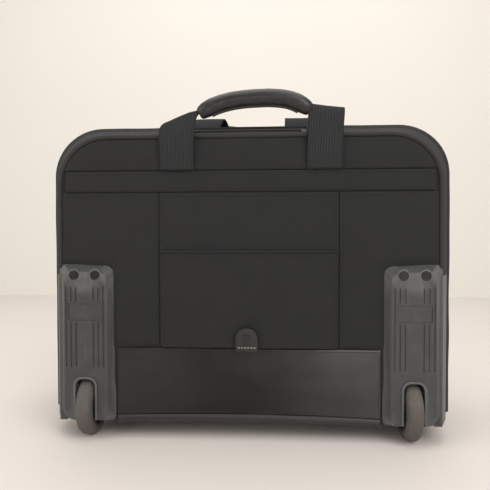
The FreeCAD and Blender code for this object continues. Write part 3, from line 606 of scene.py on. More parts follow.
@dataclass(frozen=True)
class Arch:
    """The bag's outline: straight sides, rounded top corners and a straight top."""

    half: float
    top: float
    turn: float

    def inset(self, by: float) -> "Arch":
        """Return the outline moved inwards."""
        return Arch(self.half - by, self.top - by, self.turn - by)

    def mix(self, other: "Arch", share: float) -> "Arch":
        """Return an outline between this one and other."""
        return Arch(*(a + (b - a) * share for a, b in zip(
            (self.half, self.top, self.turn), (other.half, other.top, other.turn))))

    def half_at(self, z: float) -> float:
        """Return half the outline's width at a height."""
        over = max(z - self.top + self.turn, 0.0)
        return self.half - self.turn + math.sqrt(max(self.turn ** 2 - over ** 2, 0.0))

    def inside(self, x: float, z: float) -> float:
        """Measure how far a place lies inside the outline.

        Args:
            x: how far right.
            z: how high.

        Returns:
            The distance, below 0 outside it.
        """
        side, over = abs(x) - self.half + self.turn, z - self.top + self.turn
        if side > 0 and over > 0:
            return self.turn - math.hypot(side, over)
        return min(self.turn - side, self.turn - over)

    def walk(self, foot: float, mark: float) -> list[tuple]:
        """Return places along the outline from its left foot to its right foot.

        Args:
            foot: height of both feet.
            mark: half a width on the top at which a place always lies.

        Returns:
            Pairs of a place and its outward direction, each (x, z).
        """
        high, flat = self.top - self.turn, self.half - self.turn
        stops = [((-self.half, foot + (high - foot) * step / SIDE_STEPS), (-1.0, 0.0))
                 for step in range(SIDE_STEPS)]
        for step in range(TURN_STEPS):
            angle = math.pi - math.pi / 2 * step / TURN_STEPS
            way = (math.cos(angle), math.sin(angle))
            stops.append(((-flat + self.turn * way[0], high + self.turn * way[1]), way))
        for step in range(TOP_STEPS):
            stops.append(((-flat + (flat - mark) * step / TOP_STEPS, self.top), (0.0, 1.0)))
        for step in range(TOP_STEPS):
            stops.append(((-mark + mark * step / TOP_STEPS, self.top), (0.0, 1.0)))
        mirror = [((-x, z), (-u, v)) for (x, z), (u, v) in reversed(stops)]
        return stops + [((0.0, self.top), (0.0, 1.0))] + mirror


def smooth(low: float, high: float, value: float) -> float:
    """Return 0 under low, 1 over high and a soft step between."""
    share = min(max((value - low) / (high - low), 0.0), 1.0)
    return share * share * (3 - 2 * share)


def bell(value: float, width: float) -> float:
    """Return a smooth hump of height 1 round zero."""
    return math.exp(-(value / width) ** 2)


def ripple(x: float, y: float, z: float, scale: float) -> float:
    """Return steady noise between about -1 and 1."""
    return noise_at(Vector((x, y, z)) * scale)


def lengths(points: Sequence[Vector]) -> list[float]:
    """Measure how far along a line each of its points lies.

    Args:
        points: the line's points.

    Returns:
        One length for each point.
    """
    total = [0.0]
    for first, second in zip(points, points[1:]):
        total.append(total[-1] + (second - first).length)
    return total


def grid_mesh(name: str, rows: Grid, closed: bool = False, capped: bool = False) -> bpy.types.Object:
    """Make a mesh through a grid of points, with a UV map in metres.

    Args:
        name: the piece's name.
        rows: rows of points; u runs along each row and v from row to row.
        closed: whether each row is a loop.
        capped: whether the first and last rows are filled.

    Returns:
        The new object.
    """
    build = bmesh.new()
    layer = build.loops.layers.uv.new("UVMap")
    points = [[build.verts.new(point) for point in row] for row in rows]
    middle = len(rows[0]) // 2
    down = lengths([row[middle] for row in rows])
    count = len(rows[0])
    for level, (upper, lower) in enumerate(zip(points, points[1:])):
        along = lengths(rows[level] + ([rows[level][0]] if closed else []))
        for step in range(count if closed else count - 1):
            after = (step + 1) % count
            face = build.faces.new((upper[step], upper[after], lower[after], lower[step]))
            face.smooth = True
            spots = ((along[step], down[level]), (along[step + 1], down[level]),
                     (along[step + 1], down[level + 1]), (along[step], down[level + 1]))
            for loop, spot in zip(face.loops, spots):
                loop[layer].uv = spot
    if capped:
        for row in (points[0], points[-1]):
            build.faces.new(row).smooth = True
    if closed:
        bmesh.ops.recalc_face_normals(build, faces=build.faces)
    return finish_mesh(name, build)


def finish_mesh(name: str, build: bmesh.types.BMesh) -> bpy.types.Object:
    """Turn what was built into an object in the scene.

    Args:
        name: the piece's name.
        build: what was built.

    Returns:
        The new object.
    """
    mesh = bpy.data.meshes.new(name)
    build.to_mesh(mesh)
    build.free()
    piece = bpy.data.objects.new(name, mesh)
    bpy.context.scene.collection.objects.link(piece)
    return piece


def thicken(piece: bpy.types.Object, thick: float) -> None:
    """Give a sheet its thickness, on one side, and soften it.

    Args:
        piece: the sheet.
        thick: its thickness.
    """
    solid = piece.modifiers.new("thickness", "SOLIDIFY")
    solid.thickness = thick
    solid.offset = -1.0
    soft = piece.modifiers.new("soft", "SUBSURF")
    soft.levels = soft.render_levels = 1


def sweep(name: str, line: Sequence[Vector], outline: Callable[[float], Sequence[tuple]],
          up: Vector = Vector((0, 1, 0))) -> bpy.types.Object:
    """Sweep a closed outline along a line.

    Args:
        name: the piece's name.
        line: the points it follows.
        outline: gives the outline's (side, up) pairs from the share of the way along.
        up: a direction the line never runs along.

    Returns:
        The new object.
    """
    rows = []
    for number, point in enumerate(line):
        ahead = line[min(number + 1, len(line) - 1)] - line[max(number - 1, 0)]
        side = ahead.cross(up).normalized()
        raised = side.cross(ahead).normalized()
        share = number / (len(line) - 1)
        rows.append([point + side * a + raised * b for a, b in outline(share)])
    return grid_mesh(name, rows, closed=True, capped=True)


def ring(size: float, steps: int = 12, flat: float = 1.0) -> list[tuple[float, float]]:
    """Return an ellipse's outline."""
    return [(size * math.cos(2 * math.pi * step / steps),
             size * flat * math.sin(2 * math.pi * step / steps)) for step in range(steps)]


def spline(knots: Sequence[Sequence[float]], steps: int = 12) -> list[Vector]:
    """Draw a smooth line through given points.

    Args:
        knots: the points.
        steps: runs from one to the next.

    Returns:
        The line's points.
    """
    knots = [Vector(knot) for knot in knots]
    knots = [knots[0] * 2 - knots[1]] + knots + [knots[-1] * 2 - knots[-2]]
    line = []
    for number in range(1, len(knots) - 2):
        a, b, c, d = knots[number - 1:number + 3]
        for step in range(steps):
            share = step / steps
            line.append(0.5 * ((b * 2) + (c - a) * share + (a * 2 - b * 5 + c * 4 - d) * share ** 2
                               + (b * 3 - a - c * 3 + d) * share ** 3))
    return line + [knots[-2]]


def stitches(name: str, line: Sequence[Vector], outward: Callable[[Vector], Vector],
             long: float = 2.4 * MM, gap: float = 1.0 * MM, thick: float = 0.32 * MM
             ) -> bpy.types.Object:
    """Lay a row of thread stitches along a line.

    Args:
        name: the piece's name.
        line: the seam.
        outward: gives the surface's outward direction at a point.
        long: a stitch's length.
        gap: the bare stretch between two.
        thick: half the thread's width.

    Returns:
        The new object.
    """
    build = bmesh.new()
    along = lengths(line)
    start, cursor = gap / 2, 0
    while start + long < along[-1]:
        spots = []
        for step in range(4):
            want = start + long * step / 3
            while along[cursor + 1] < want:
                cursor += 1
            share = (want - along[cursor]) / (along[cursor + 1] - along[cursor])
            point = line[cursor].lerp(line[cursor + 1], share)
            lift = thick * (0.9 if step in (1, 2) else -0.4)
            spots.append((point, lift))
        add_stitch(build, spots, outward, thick)
        start += long + gap
    return finish_mesh(name, build)


def add_stitch(build: bmesh.types.BMesh, spots: Sequence[tuple], outward: Callable, thick: float
               ) -> None:
    """Add one stitch, a short bent thread.

    Args:
        build: the mesh it goes into.
        spots: each point along it, with its lift.
        outward: gives the surface's outward direction at a point.
        thick: half the thread's width.
    """
    rows = []
    ahead = (spots[-1][0] - spots[0][0]).normalized()
    for point, lift in spots:
        up = outward(point)
        side = ahead.cross(up).normalized()
        centre = point + up * lift
        rows.append([build.verts.new(centre + side * a + up * b) for a, b in ring(thick, 6)])
    for upper, lower in zip(rows, rows[1:]):
        for step in range(6):
            after = (step + 1) % 6
            build.faces.new((upper[step], upper[after], lower[after], lower[step])).smooth = True
    build.faces.new(rows[0][::-1])
    build.faces.new(rows[-1])


@cache
def box(node: str) -> tuple[Vector, Vector]:
    """Return a frame node's lowest and highest corners."""
    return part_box(node)


def graded(span: float, fine: float, step: float) -> list[float]:
    """Return shares from 0 to 1 along a span, closer together near both ends.

    Args:
        span: the span's length.
        fine: how far in from each end the places lie closer.
        step: the usual distance between places.

    Returns:
        The shares.
    """
    edge = [fine * share / span for share in (0.0, 0.12, 0.3, 0.55, 0.9, 1.4, 2.1)]
    count = max(2, round((span * (1 - 2 * edge[-1])) / step))
    middle = [edge[-1] + (1 - 2 * edge[-1]) * number / count for number in range(1, count)]
    return edge + middle + [1 - share for share in reversed(edge)]


# ---------------------------------------------------------------------------------------------
# The case


class Places:
    """Where things are, read from the frame."""

    def __init__(self) -> None:
        """Read the places from the frame."""
        low, _ = box("back_panel")
        pipe_low, pipe_high = box("back_piping")
        housing = box("handle_housing")
        self.back_face = low[1]
        self.pipe_radius = self.back_face - pipe_low[1]
        turn = CORNER
        self.back = Arch(pipe_high[0] - self.pipe_radius, pipe_high[2] - self.pipe_radius, turn)
        body_high = box("main_gusset")[1]
        self.body = Arch(body_high[0], body_high[2], turn)
        front_high = box("lid_piping")[1]
        self.front = Arch(front_high[0] - self.pipe_radius, front_high[2] - self.pipe_radius, turn)
        self.floor = box("base_pan")[0][2]
        self.foot = box("main_gusset")[0][2]
        self.mark = housing[1][0] + 0.4 * MM
        self.housing_front = housing[1][1]

    def at(self, depth: float) -> float:
        """Return the y of a depth in millimetres counted from the back panel's face."""
        return self.back_face + depth * MM


@dataclass
class Workshop:
    """What every sub-assembly needs: the places, the materials and how pieces are booked."""

    places: Places
    palette: Palette

    def book(self, piece: bpy.types.Object, body: str, slot: Slot, *replaced: str,
             finish: Extra | None = None) -> bpy.types.Object:
        """Give a piece its material, its body and the frame nodes it stands for.

        Args:
            piece: the new piece.
            body: the body it rides on.
            slot: the material slot it takes its finish from.
            replaced: the frame nodes it stands for.
            finish: one of the extra finishes, if not the slot's own.

        Returns:
            The piece.
        """
        made = self.palette.extra[finish] if finish else self.palette.made[slot]
        piece.data.materials.append(made)
        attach(piece, body)
        if replaced:
            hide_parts(*replaced)
        LOG.info("%s rides on %s", piece.name, body)
        return piece


@dataclass
class Quilt:
    """A padded cloth panel that rolls down to its board at the edges.

    Attributes:
        name: the piece's name.
        x, z: its spans.
        base: the board's y.
        outward: -1 facing the back, 1 facing the front.
        rise: how high its edges roll up.
        crown: how much further its middle stands.
        roll: how wide the rolled edge is.
        round_: its own corner radius.
        arch: an outline that also bounds it.
        bow: how far its lower and upper edges bow up at mid-span.
        wave: the height of its unevenness.
        relief: more height at (x, z), if any.
    """

    name: str
    x: tuple[float, float]
    z: tuple[float, float]
    base: float
    outward: float = -1.0
    rise: float = 1.5 * MM
    crown: float = 1.2 * MM
    roll: float = 2.4 * MM
    round_: float = 2.0 * MM
    arch: Arch | None = None
    bow: tuple[float, float] = (0.0, 0.0)
    wave: float = 0.35 * MM
    step: float = 4.0 * MM
    relief: Callable[[float, float], float] | None = None

    def edge(self, x: float, z: float) -> float:
        """Measure how far a place lies inside the panel.

        Args:
            x: how far right.
            z: how high.

        Returns:
            The distance.
        """
        side = min(x - self.x[0], self.x[1] - x)
        rise = min(z - self.z[0], self.z[1] - z)
        near = min(side, rise)
        if side < self.round_ and rise < self.round_:
            near = self.round_ - math.hypot(self.round_ - side, self.round_ - rise)
        return min(near, self.arch.inside(x, z)) if self.arch else near

    def spot(self, x: float, z: float) -> Vector:
        """Find the surface over a place.

        Args:
            x: how far right.
            z: how high.

        Returns:
            The surface's point.
        """
        near = max(self.edge(x, z), 0.0)
        share = min(near / self.roll, 1.0)
        height = self.rise * math.sqrt(1 - (1 - share) ** 2)
        reach = min(self.x[1] - self.x[0], self.z[1] - self.z[0]) * 0.42
        height += self.crown * smooth(0.0, reach, near)
        soft = ripple(x, self.base, z, 16.0) * 0.7 + ripple(x + 1, self.base, z, 48.0) * 0.3
        height += self.wave * soft * share
        if self.relief:
            height += self.relief(x, z) * share
        middle, half = (self.x[0] + self.x[1]) / 2, (self.x[1] - self.x[0]) / 2
        up = (z - self.z[0]) / (self.z[1] - self.z[0])
        lift = (self.bow[0] * (1 - up) + self.bow[1] * up) * (1 - ((x - middle) / half) ** 2)
        return Vector((x, self.base + self.outward * height, z + lift))

    def span(self, z: float) -> tuple[float, float]:
        """Find the panel's sides at a height.

        Args:
            z: the height.

        Returns:
            Left and right.
        """
        if not self.arch:
            return self.x
        half = self.arch.half_at(z)
        return max(self.x[0], -half), min(self.x[1], half)

    def make(self) -> bpy.types.Object:
        """Make the panel.

        Returns:
            Its piece.
        """
        across = graded(self.x[1] - self.x[0], self.roll, self.step)
        up = graded(self.z[1] - self.z[0], self.roll, self.step)
        rows = []
        for share in (up if self.outward < 0 else reversed(up)):
            z = self.z[0] + (self.z[1] - self.z[0]) * share
            left, right = self.span(z)
            rows.append([self.spot(left + (right - left) * part, z) for part in across])
        return grid_mesh(self.name, rows)

    def seam(self, corners: Sequence[tuple[float, float]]) -> list[Vector]:
        """Draw a line on the surface.

        Args:
            corners: its corners, each (x, z).

        Returns:
            The line's points.
        """
        line = []
        for (x0, z0), (x1, z1) in zip(corners, corners[1:]):
            steps = max(2, round(math.hypot(x1 - x0, z1 - z0) / (3 * MM)))
            for step in range(steps):
                share = step / steps
                line.append(self.spot(x0 + (x1 - x0) * share, z0 + (z1 - z0) * share))
        return line + [self.spot(*corners[-1])]

    def inset(self, by: float, *sides: Side) -> list[list[tuple[float, float]]]:
        """Draw straight seams inside some of the sides.

        Args:
            by: how far inside.
            sides: the sides.

        Returns:
            A seam for each side.
        """
        x0, x1, z0, z1 = self.x[0] + by, self.x[1] - by, self.z[0] + by, self.z[1] - by
        lines = {Side.LOW: [(x0, z0), (x1, z0)], Side.HIGH: [(x0, z1), (x1, z1)],
                 Side.LEFT: [(x0, z0), (x0, z1)], Side.RIGHT: [(x1, z0), (x1, z1)]}
        return [lines[side] for side in sides]


def hoop(name: str, profile: Sequence[tuple[float, float]], outline: Callable[[float], Arch],
         places: Places, foot: float, part: slice = slice(None), wave: float = 0.0
         ) -> bpy.types.Object:
    """Sweep a closed section round the bag.

    Args:
        name: the piece's name.
        profile: the section's (depth in millimetres, outward offset) pairs.
        outline: gives the bag's outline at a depth in millimetres.
        places: where things are.
        foot: height of its feet.
        part: the part of the walk round the bag that it covers.
        wave: the height of its unevenness.

    Returns:
        The new object.
    """
    walks = [outline(depth).walk(foot, places.mark)[part] for depth, _ in profile]
    rows = []
    for stops in zip(*walks):
        row = []
        for ((x, z), (u, v)), (depth, out) in zip(stops, profile):
            y = places.at(depth)
            soft = wave * ripple(x, y, z, 22.0) if out > -1 * MM else 0.0
            row.append(Vector((x + u * (out + soft), y, z + v * (out + soft))))
        rows.append(row)
    return grid_mesh(name, rows, closed=True, capped=True)


def shell(first: float, last: float, bulge: float, ridge: float = 0.0
          ) -> list[tuple[float, float]]:
    """Return a hoop's section.

    Args:
        first, last: the depths, in millimetres, that it spans.
        bulge: how far its middle stands out.
        ridge: how far its far edge stands out.

    Returns:
        Its (depth, outward offset) pairs.
    """
    outer = []
    for step in range(SHELL_STEPS + 1):
        share = step / SHELL_STEPS
        edge = math.sqrt(1 - (2 * share - 1) ** 8)
        outer.append((first + (last - first) * share,
                      bulge * math.sin(math.pi * share) + (edge - 1) * 1.2 * MM
                      + ridge * smooth(0.7, 0.93, share)))
    return outer + [(last, -SHELL_THICK), (first, -SHELL_THICK)]


@dataclass
class SubAssembly:
    """A group of pieces that is made together.

    Attributes:
        shop: the places, the materials and how pieces are booked.
    """

    shop: Workshop

    @property
    def at(self) -> Places:
        """Return where things are."""
        return self.shop.places


@dataclass
class Back(SubAssembly):
    """The quilted back, its band, kick panel, trim and piping.

    Attributes:
        gap: the bare stretch between two layers.
        pad_rise: how high a pad's edge rolls up.
        pad_hem: how far inside a pad's edge its thread runs.
        band_hem: how far inside the band's and the kick panel's edge theirs runs.
        band_share: how much of the band's shift its upper edge takes.
        bow: how far the kick panel's foot bows up at mid-span.
        guard_press: how far a guard presses the side pad in.
        kick_press: how far the kick panel does.
    """

    gap: float = 0.6 * MM
    pad_rise: float = 1.8 * MM
    pad_hem: float = 4 * MM
    band_hem: float = 3 * MM
    band_share: float = 0.8
    bow: float = 3 * MM
    guard_press: float = 2.6 * MM
    kick_press: float = 3.4 * MM

    def build(self) -> None:
        """Make the pieces."""
        self.quilts()
        self.kick()
        self.piping()

    def quilts(self) -> None:
        """Make the board and the four padded panels over it."""
        at, shop = self.at, self.shop
        arch = at.back.inset(at.pipe_radius)
        band_low, band_high = box("back_band")
        centre = box("back_centre_panel")
        kick = box("kick_panel")
        board = Quilt("back_board", (-arch.half, arch.half), (at.floor, arch.top),
                      at.at(0.4), rise=0.0, crown=0.0, wave=0.0, arch=arch)
        shop.book(board.make(), "case", Slot.FABRIC, "back_panel")
        gap = self.gap
        band_low, band_high = band_low.copy(), band_high.copy()
        band_low[2] += SEWN_UP
        band_high[2] += SEWN_UP * self.band_share
        upper = Quilt("back_upper_pad", (-arch.half, arch.half), (band_high[2] + gap, arch.top),
                      at.at(0), arch=arch, rise=self.pad_rise, crown=1.0 * MM, wave=0.5 * MM)
        self.pad(upper)
        half = centre[1][0]
        for side, word in ((-1, "left"), (1, "right")):
            spans = sorted((side * (half + gap) + SEWN_RIGHT, side * arch.half))
            panel = Quilt(f"back_{word}_pad", tuple(spans), (kick[0][2], band_low[2] - gap),
                          at.at(0), arch=arch, rise=self.pad_rise, crown=2.2 * MM, wave=0.9 * MM,
                          relief=self.pressed)
            self.pad(panel)
            inner = Side.RIGHT if side < 0 else Side.LEFT
            for number, seam in enumerate(panel.inset(self.pad_hem, Side.HIGH, inner)):
                thread(shop, f"back_{word}_thread_{number}", panel, seam)
        middle = Quilt("back_centre_pad", (SEWN_RIGHT - half, SEWN_RIGHT + half),
                       (centre[0][2], band_low[2] - gap), at.at(0), rise=1.7 * MM,
                       crown=1.6 * MM, wave=0.9 * MM)
        self.pad(middle, "back_centre_panel")
        for number, seam in enumerate(middle.inset(self.pad_hem, Side.HIGH, Side.LEFT, Side.RIGHT)):
            thread(shop, f"back_centre_thread_{number}", middle, seam)
        band = Quilt("back_band_strip", (band_low[0], band_high[0]), (band_low[2], band_high[2]),
                     at.at(-0.2), rise=1.8 * MM, crown=0.3 * MM, roll=1.4 * MM, wave=0.3 * MM)
        shop.book(band.make(), "case", Slot.FABRIC, "back_band")
        for number, seam in enumerate(band.inset(self.band_hem, Side.LOW, Side.HIGH)):
            thread(shop, f"back_band_thread_{number}", band, seam)

    def pad(self, quilt: Quilt, *replaced: str) -> None:
        """Book a padded panel."""
        self.shop.book(quilt.make(), "case", Slot.FABRIC, *replaced)

    def pressed(self, x: float, z: float) -> float:
        """Work out how far a guard or the kick panel presses a side pad in.

        Args:
            x: how far right.
            z: how high.

        Returns:
            The relief, 0 or less.
        """
        low, high = box("guard_right")
        _, kick_high = box("kick_panel")
        guard = smooth(-5 * MM, 3 * MM, min(abs(x) - low[0], high[2] - z))
        kick = smooth(-4 * MM, 1 * MM, min(kick_high[0] - abs(x), kick_high[2] - z))
        return -self.guard_press * guard - self.kick_press * max(kick - guard, 0.0)

    def kick(self) -> None:
        """Make the glossy kick panel and the trim under it."""
        at, shop = self.at, self.shop
        low, high = box("kick_panel")
        bow = self.bow
        kick = Quilt("kick_sheet", (low[0], high[0]), (low[2], high[2]), at.at(-0.2),
                     rise=2.0 * MM, crown=0.8 * MM, roll=1.8 * MM, bow=(bow, 0.0),
                     wave=0.9 * MM, step=3 * MM)
        # the kick sheet's vinyl coat carries a painted reflection, stronger towards its sides
        shop.book(kick.make(), "case", Slot.VINYL, "kick_panel")
        for number, seam in enumerate(kick.inset(self.band_hem, Side.HIGH, Side.LEFT, Side.RIGHT)):
            thread(shop, f"kick_thread_{number}", kick, seam)
        low, high = box("bottom_trim")
        trim = Quilt("trim_strip", (low[0], high[0]), (low[2], high[2] + bow * 0.4), at.at(-0.3),
                     rise=3.6 * MM, crown=0.2 * MM, roll=2.6 * MM, bow=(bow, bow), wave=0.3 * MM,
                     step=3 * MM)
        shop.book(trim.make(), "case", Slot.VINYL, "bottom_trim", finish=Extra.TRIM)

    def piping(self) -> None:
        """Make the piping round the back."""
        at = self.at
        foot = box("back_piping")[0][2] - 4 * MM
        line = [Vector((x, at.at(0), z)) for (x, z), _ in at.back.walk(foot, at.mark)]
        piece = sweep("back_cord", line, lambda share: ring(at.pipe_radius * 0.98, 14))
        self.shop.book(piece, "case", Slot.FABRIC, "back_piping", finish=Extra.PIPING)


def thread(shop: Workshop, name: str, quilt: Quilt, seam: Sequence[tuple[float, float]],
           body: str = "case", slot: Slot = Slot.FABRIC) -> None:
    """Sew a row of stitches over a panel.

    Args:
        shop: books the piece.
        name: the piece's name.
        quilt: the panel.
        seam: the seam's corners.
        body: the body it rides on.
        slot: its material slot.
    """
    way = Vector((0, quilt.outward, 0))
    piece = stitches(name, quilt.seam(seam), lambda point: way)
    shop.book(piece, body, slot, finish=Extra.THREAD)


@dataclass
class Trolley(SubAssembly):
    """The pocket that slips over a trolley handle, and its leather tab.

    Attributes:
        cloth: the pocket's thickness.
        leather: the tab's thickness.
        folds: each fold's middle, height and width, in millimetres.
    """

    cloth: float = 1.1 * MM
    leather: float = 1.8 * MM
    folds: Rows = ((-39, 0.9, 5), (-29, 1.1, 4), (-21, 0.6, 4), (16, 0.9, 5), (32, 0.7, 6),
                   (60, 0.4, 8))

    def __post_init__(self) -> None:
        """Read the pocket's and the tab's places."""
        shift = Vector((SEWN_RIGHT, 0, 0))
        self.low, self.high = (corner + shift for corner in box("sleeve_pocket"))
        self.tab = box("sleeve_tab")

    def bulge(self, x: float, z: float) -> float:
        """Work out how far the pocket stands off.

        Args:
            x: how far right.
            z: how high.

        Returns:
            The height.
        """
        up = smooth(self.low[2], self.high[2], z)
        across = 1 - min(abs(x) / self.high[0], 1.0) ** 3
        height = (1.2 + 3.6 * up) * MM * across
        for middle, tall, wide in self.folds:
            drift = (middle + 0.25 * middle * (up - 0.5)) * MM
            height += tall * MM * bell(x - drift, wide * MM) * (0.25 + 0.75 * (1 - up))
        tab_middle = (self.tab[0][2] + self.tab[1][2]) / 2
        height -= 1.6 * MM * bell(x, 15 * MM) * bell(z - tab_middle - 4 * MM, 15 * MM)
        return height

    def build(self) -> None:
        """Make the pocket, its hem and the tab."""
        shop, at = self.shop, self.at
        low, high = self.low, self.high
        top = high[2]
        # the panel's upper roll would lie above the mouth, so the cloth is flat at the mouth
        quilt = Quilt("pocket_sheet", (low[0], high[0]), (low[2] - 1 * MM, top + 3 * MM),
                      at.at(-1.6), rise=1.6 * MM, crown=0.0, roll=1.6 * MM, round_=3 * MM,
                      wave=0.7 * MM, step=3 * MM, relief=self.bulge)
        across = graded(high[0] - low[0], quilt.roll, quilt.step)
        up = [share for share in graded(top - low[2], quilt.roll, quilt.step) if share < 0.985]
        xs = [low[0] + (high[0] - low[0]) * share for share in across]
        rows = [[quilt.spot(x, quilt.z[0] + (top - quilt.z[0]) * share) for x in xs]
                for share in up + [1.0]]
        sheet = grid_mesh("pocket_sheet", rows)
        thicken(sheet, self.cloth)
        shop.book(sheet, "case", Slot.FABRIC, "sleeve_pocket")
        hem = [quilt.spot(x, top) + Vector((0, 0.3 * MM, 0)) for x in xs]
        roll = sweep("pocket_hem", hem, lambda share: ring(1.5 * MM, 10, 0.8), Vector((0, 0, 1)))
        shop.book(roll, "case", Slot.FABRIC)
        for number, line in enumerate([
                [(low[0] + 4 * MM, top - 4 * MM), (high[0] - 4 * MM, top - 4 * MM)],
                [(low[0] + 3 * MM, low[2] + 3 * MM), (low[0] + 3 * MM, top - 5 * MM)],
                [(high[0] - 3 * MM, low[2] + 3 * MM), (high[0] - 3 * MM, top - 5 * MM)]]):
            thread(shop, f"pocket_thread_{number}", quilt, line)
        self.make_tab()

    def make_tab(self) -> None:
        """Make the rounded tab with its sewn root."""
        low, high = self.tab
        half = high[0]
        round_top = high[2] - half
        levels = [low[2] + (high[2] - low[2]) * step / 24 for step in range(25)]
        rows = []
        for z in levels:
            over = max(z - round_top, 0.0)
            reach = math.sqrt(max(half ** 2 - over ** 2, (0.8 * MM) ** 2))
            row = []
            for step in range(15):
                x = reach * (step / 7 - 1)
                curl = 0.8 * MM * smooth(low[2], high[2], z)
                crown = 0.5 * MM * (1 - (x / half) ** 2)
                row.append(Vector((x, low[1] + 1.5 * MM - crown - curl, z)))
            rows.append(row)
        piece = grid_mesh("tab_leather", rows)
        thicken(piece, self.leather)
        self.shop.book(piece, "tab", Slot.LEATHER, "sleeve_tab")
        way = Vector((0, -1, 0))
        root = [Vector((half * 0.8 * (step / 8 - 1), low[1] + 1.1 * MM, low[2] + 4.5 * MM))
                for step in range(17)]
        sewn = stitches("tab_thread", root, lambda point: way)
        self.shop.book(sewn, "tab", Slot.LEATHER, finish=Extra.PALE_THREAD)


@dataclass
class Skirt(SubAssembly):
    """The gussets round the bag and the zips between them.

    Attributes:
        bulge: how far the back gusset stands out.
        front_bulge: how far the other two do.
        ridge: how far the back gusset's far edge stands out.
        sunk: how far a zip tape lies under the gussets' faces.
        tape_thick: a tape's thickness.
        strip_thick: the thickness of the strip along the lid's foot.
        row_off: how far, in millimetres, each row of teeth lies from the zip's middle.
        pitch: the distance between two teeth.
    """

    bulge: float = 1.6 * MM
    front_bulge: float = 1.2 * MM
    ridge: float = 4.0 * MM
    sunk: float = 0.9 * MM
    tape_thick: float = 1.2 * MM
    strip_thick: float = 3 * MM
    row_off: float = 0.9
    pitch: float = 1.7 * MM

    def outline(self, depth: float) -> Arch:
        """Find the bag's outline at a depth.

        Args:
            depth: the depth, in millimetres.

        Returns:
            The outline.
        """
        at = self.at
        flare = (box("back_zip_tape")[0][1] - at.back_face) / MM
        lid = (box("lid_zip_tape")[1][1] - at.back_face) / MM
        front = (box("lid_panel")[1][1] - at.back_face) / MM
        if depth < flare:
            return at.back.mix(at.body, depth / flare)
        if depth > lid:
            return at.body.mix(at.front, (depth - lid) / (front - lid))
        return at.body

    def depths(self, node: str) -> tuple[float, float]:
        """Return the depths, in millimetres, that a frame node spans."""
        low, high = box(node)
        return (low[1] - self.at.back_face) / MM, (high[1] - self.at.back_face) / MM

    def wrap(self, name: str, section: list, body: str, slot: Slot, *replaced: str,
             part: slice = slice(None), foot: float | None = None, wave: float = 0.5 * MM) -> None:
        """Make and book a hoop.

        Args:
            name: the piece's name.
            section: its section.
            body: the body it rides on.
            slot: its material slot.
            replaced: the frame nodes it stands for.
            part: the part of the walk round the bag that it covers.
            foot: height of its feet, if not the gusset's.
            wave: the height of its unevenness.
        """
        foot = self.at.foot if foot is None else foot
        piece = hoop(name, section, self.outline, self.at, foot, part, wave)
        self.shop.book(piece, body, slot, *replaced)

    def build(self) -> None:
        """Make the pieces."""
        at = self.at
        first, last = self.depths("back_gusset")
        count = len(at.body.walk(at.foot, at.mark))
        section = shell(first, last, self.bulge, self.ridge)
        rim = (at.housing_front - at.back_face) / MM + 0.3
        self.wrap("back_skirt_left", section, "case", Slot.FABRIC, "back_gusset",
                  part=slice(0, MARK + 1))
        self.wrap("back_skirt_right", section, "case", Slot.FABRIC,
                  part=slice(count - MARK - 1, count))
        # the narrow run past the housing bulges as high as the ridge on both sides of it
        self.wrap("back_skirt_rim", shell(rim, last, bulge=self.ridge), "case", Slot.FABRIC,
                  part=slice(MARK, count - MARK), wave=0.0)
        first, last = self.depths("main_gusset")
        self.wrap("main_skirt", shell(first, last, self.front_bulge), "case", Slot.FABRIC, "main_gusset",
                  wave=1.0 * MM)
        first, last = self.depths("lid_zip_tape")[1] + 0.3, self.depths("lid_gusset")[1]
        self.wrap("lid_skirt", shell(first, last, self.front_bulge), "lid", Slot.FABRIC, "lid_gusset",
                  foot=at.floor, wave=0.8 * MM)
        self.lid_hinge()
        self.zip("back_zip", "back_zip_tape", "case", self.depths("back_zip_tape"))
        mouth, lid = self.depths("mouth_zip_tape"), self.depths("lid_zip_tape")
        self.tape("mouth_tape", "mouth_zip_tape", "case", mouth)
        self.tape("lid_tape", "lid_zip_tape", "lid", lid)
        middle = (mouth[1] + lid[0]) / 2
        self.teeth("mouth_teeth", "case", middle - self.row_off)
        self.teeth("lid_teeth", "lid", middle + self.row_off)

    def lid_hinge(self) -> None:
        """Make the cloth strip along the foot of the lid."""
        at = self.at
        low, high = box("lid_gusset")
        first = self.depths("lid_zip_tape")[0]
        half, thick = at.body.half - 2 * MM, self.strip_thick
        front = at.front.half
        rows = []
        for step in range(21):
            share = step / 20
            y0, y1 = at.at(first), high[1]
            x0, x1 = half * (2 * share - 1), front * (2 * share - 1)
            rows.append([Vector((x0, y0, low[2])), Vector((x1, y1, low[2])),
                         Vector((x1, y1, low[2] + thick)), Vector((x0, y0, low[2] + thick))])
        piece = grid_mesh("lid_floor", rows, closed=True, capped=True)
        self.shop.book(piece, "lid", Slot.FABRIC)

    def tape(self, name: str, node: str, body: str, span: tuple[float, float]) -> None:
        """Make one zip tape, a little under the gussets' faces.

        Args:
            name: the piece's name.
            node: the frame node it stands for.
            body: the body it rides on.
            span: its depths, in millimetres.
        """
        first, last = span
        face, under = -self.sunk, -self.sunk - self.tape_thick
        section = [(first, face), (last, face), (last, under), (first, under)]
        self.wrap(name, section, body, Slot.ZIP_TAPE, node, wave=0.0)

    def zip(self, name: str, node: str, body: str, span: tuple[float, float]) -> None:
        """Make a closed zip: its tape and two rows of teeth.

        Args:
            name: how the pieces' names start.
            node: the frame node.
            body: the body it rides on.
            span: its depths, in millimetres.
        """
        self.tape(f"{name}_band", node, body, span)
        middle = (span[0] + span[1]) / 2
        self.teeth(f"{name}_teeth_near", body, middle - self.row_off)
        self.teeth(f"{name}_teeth_far", body, middle + self.row_off)

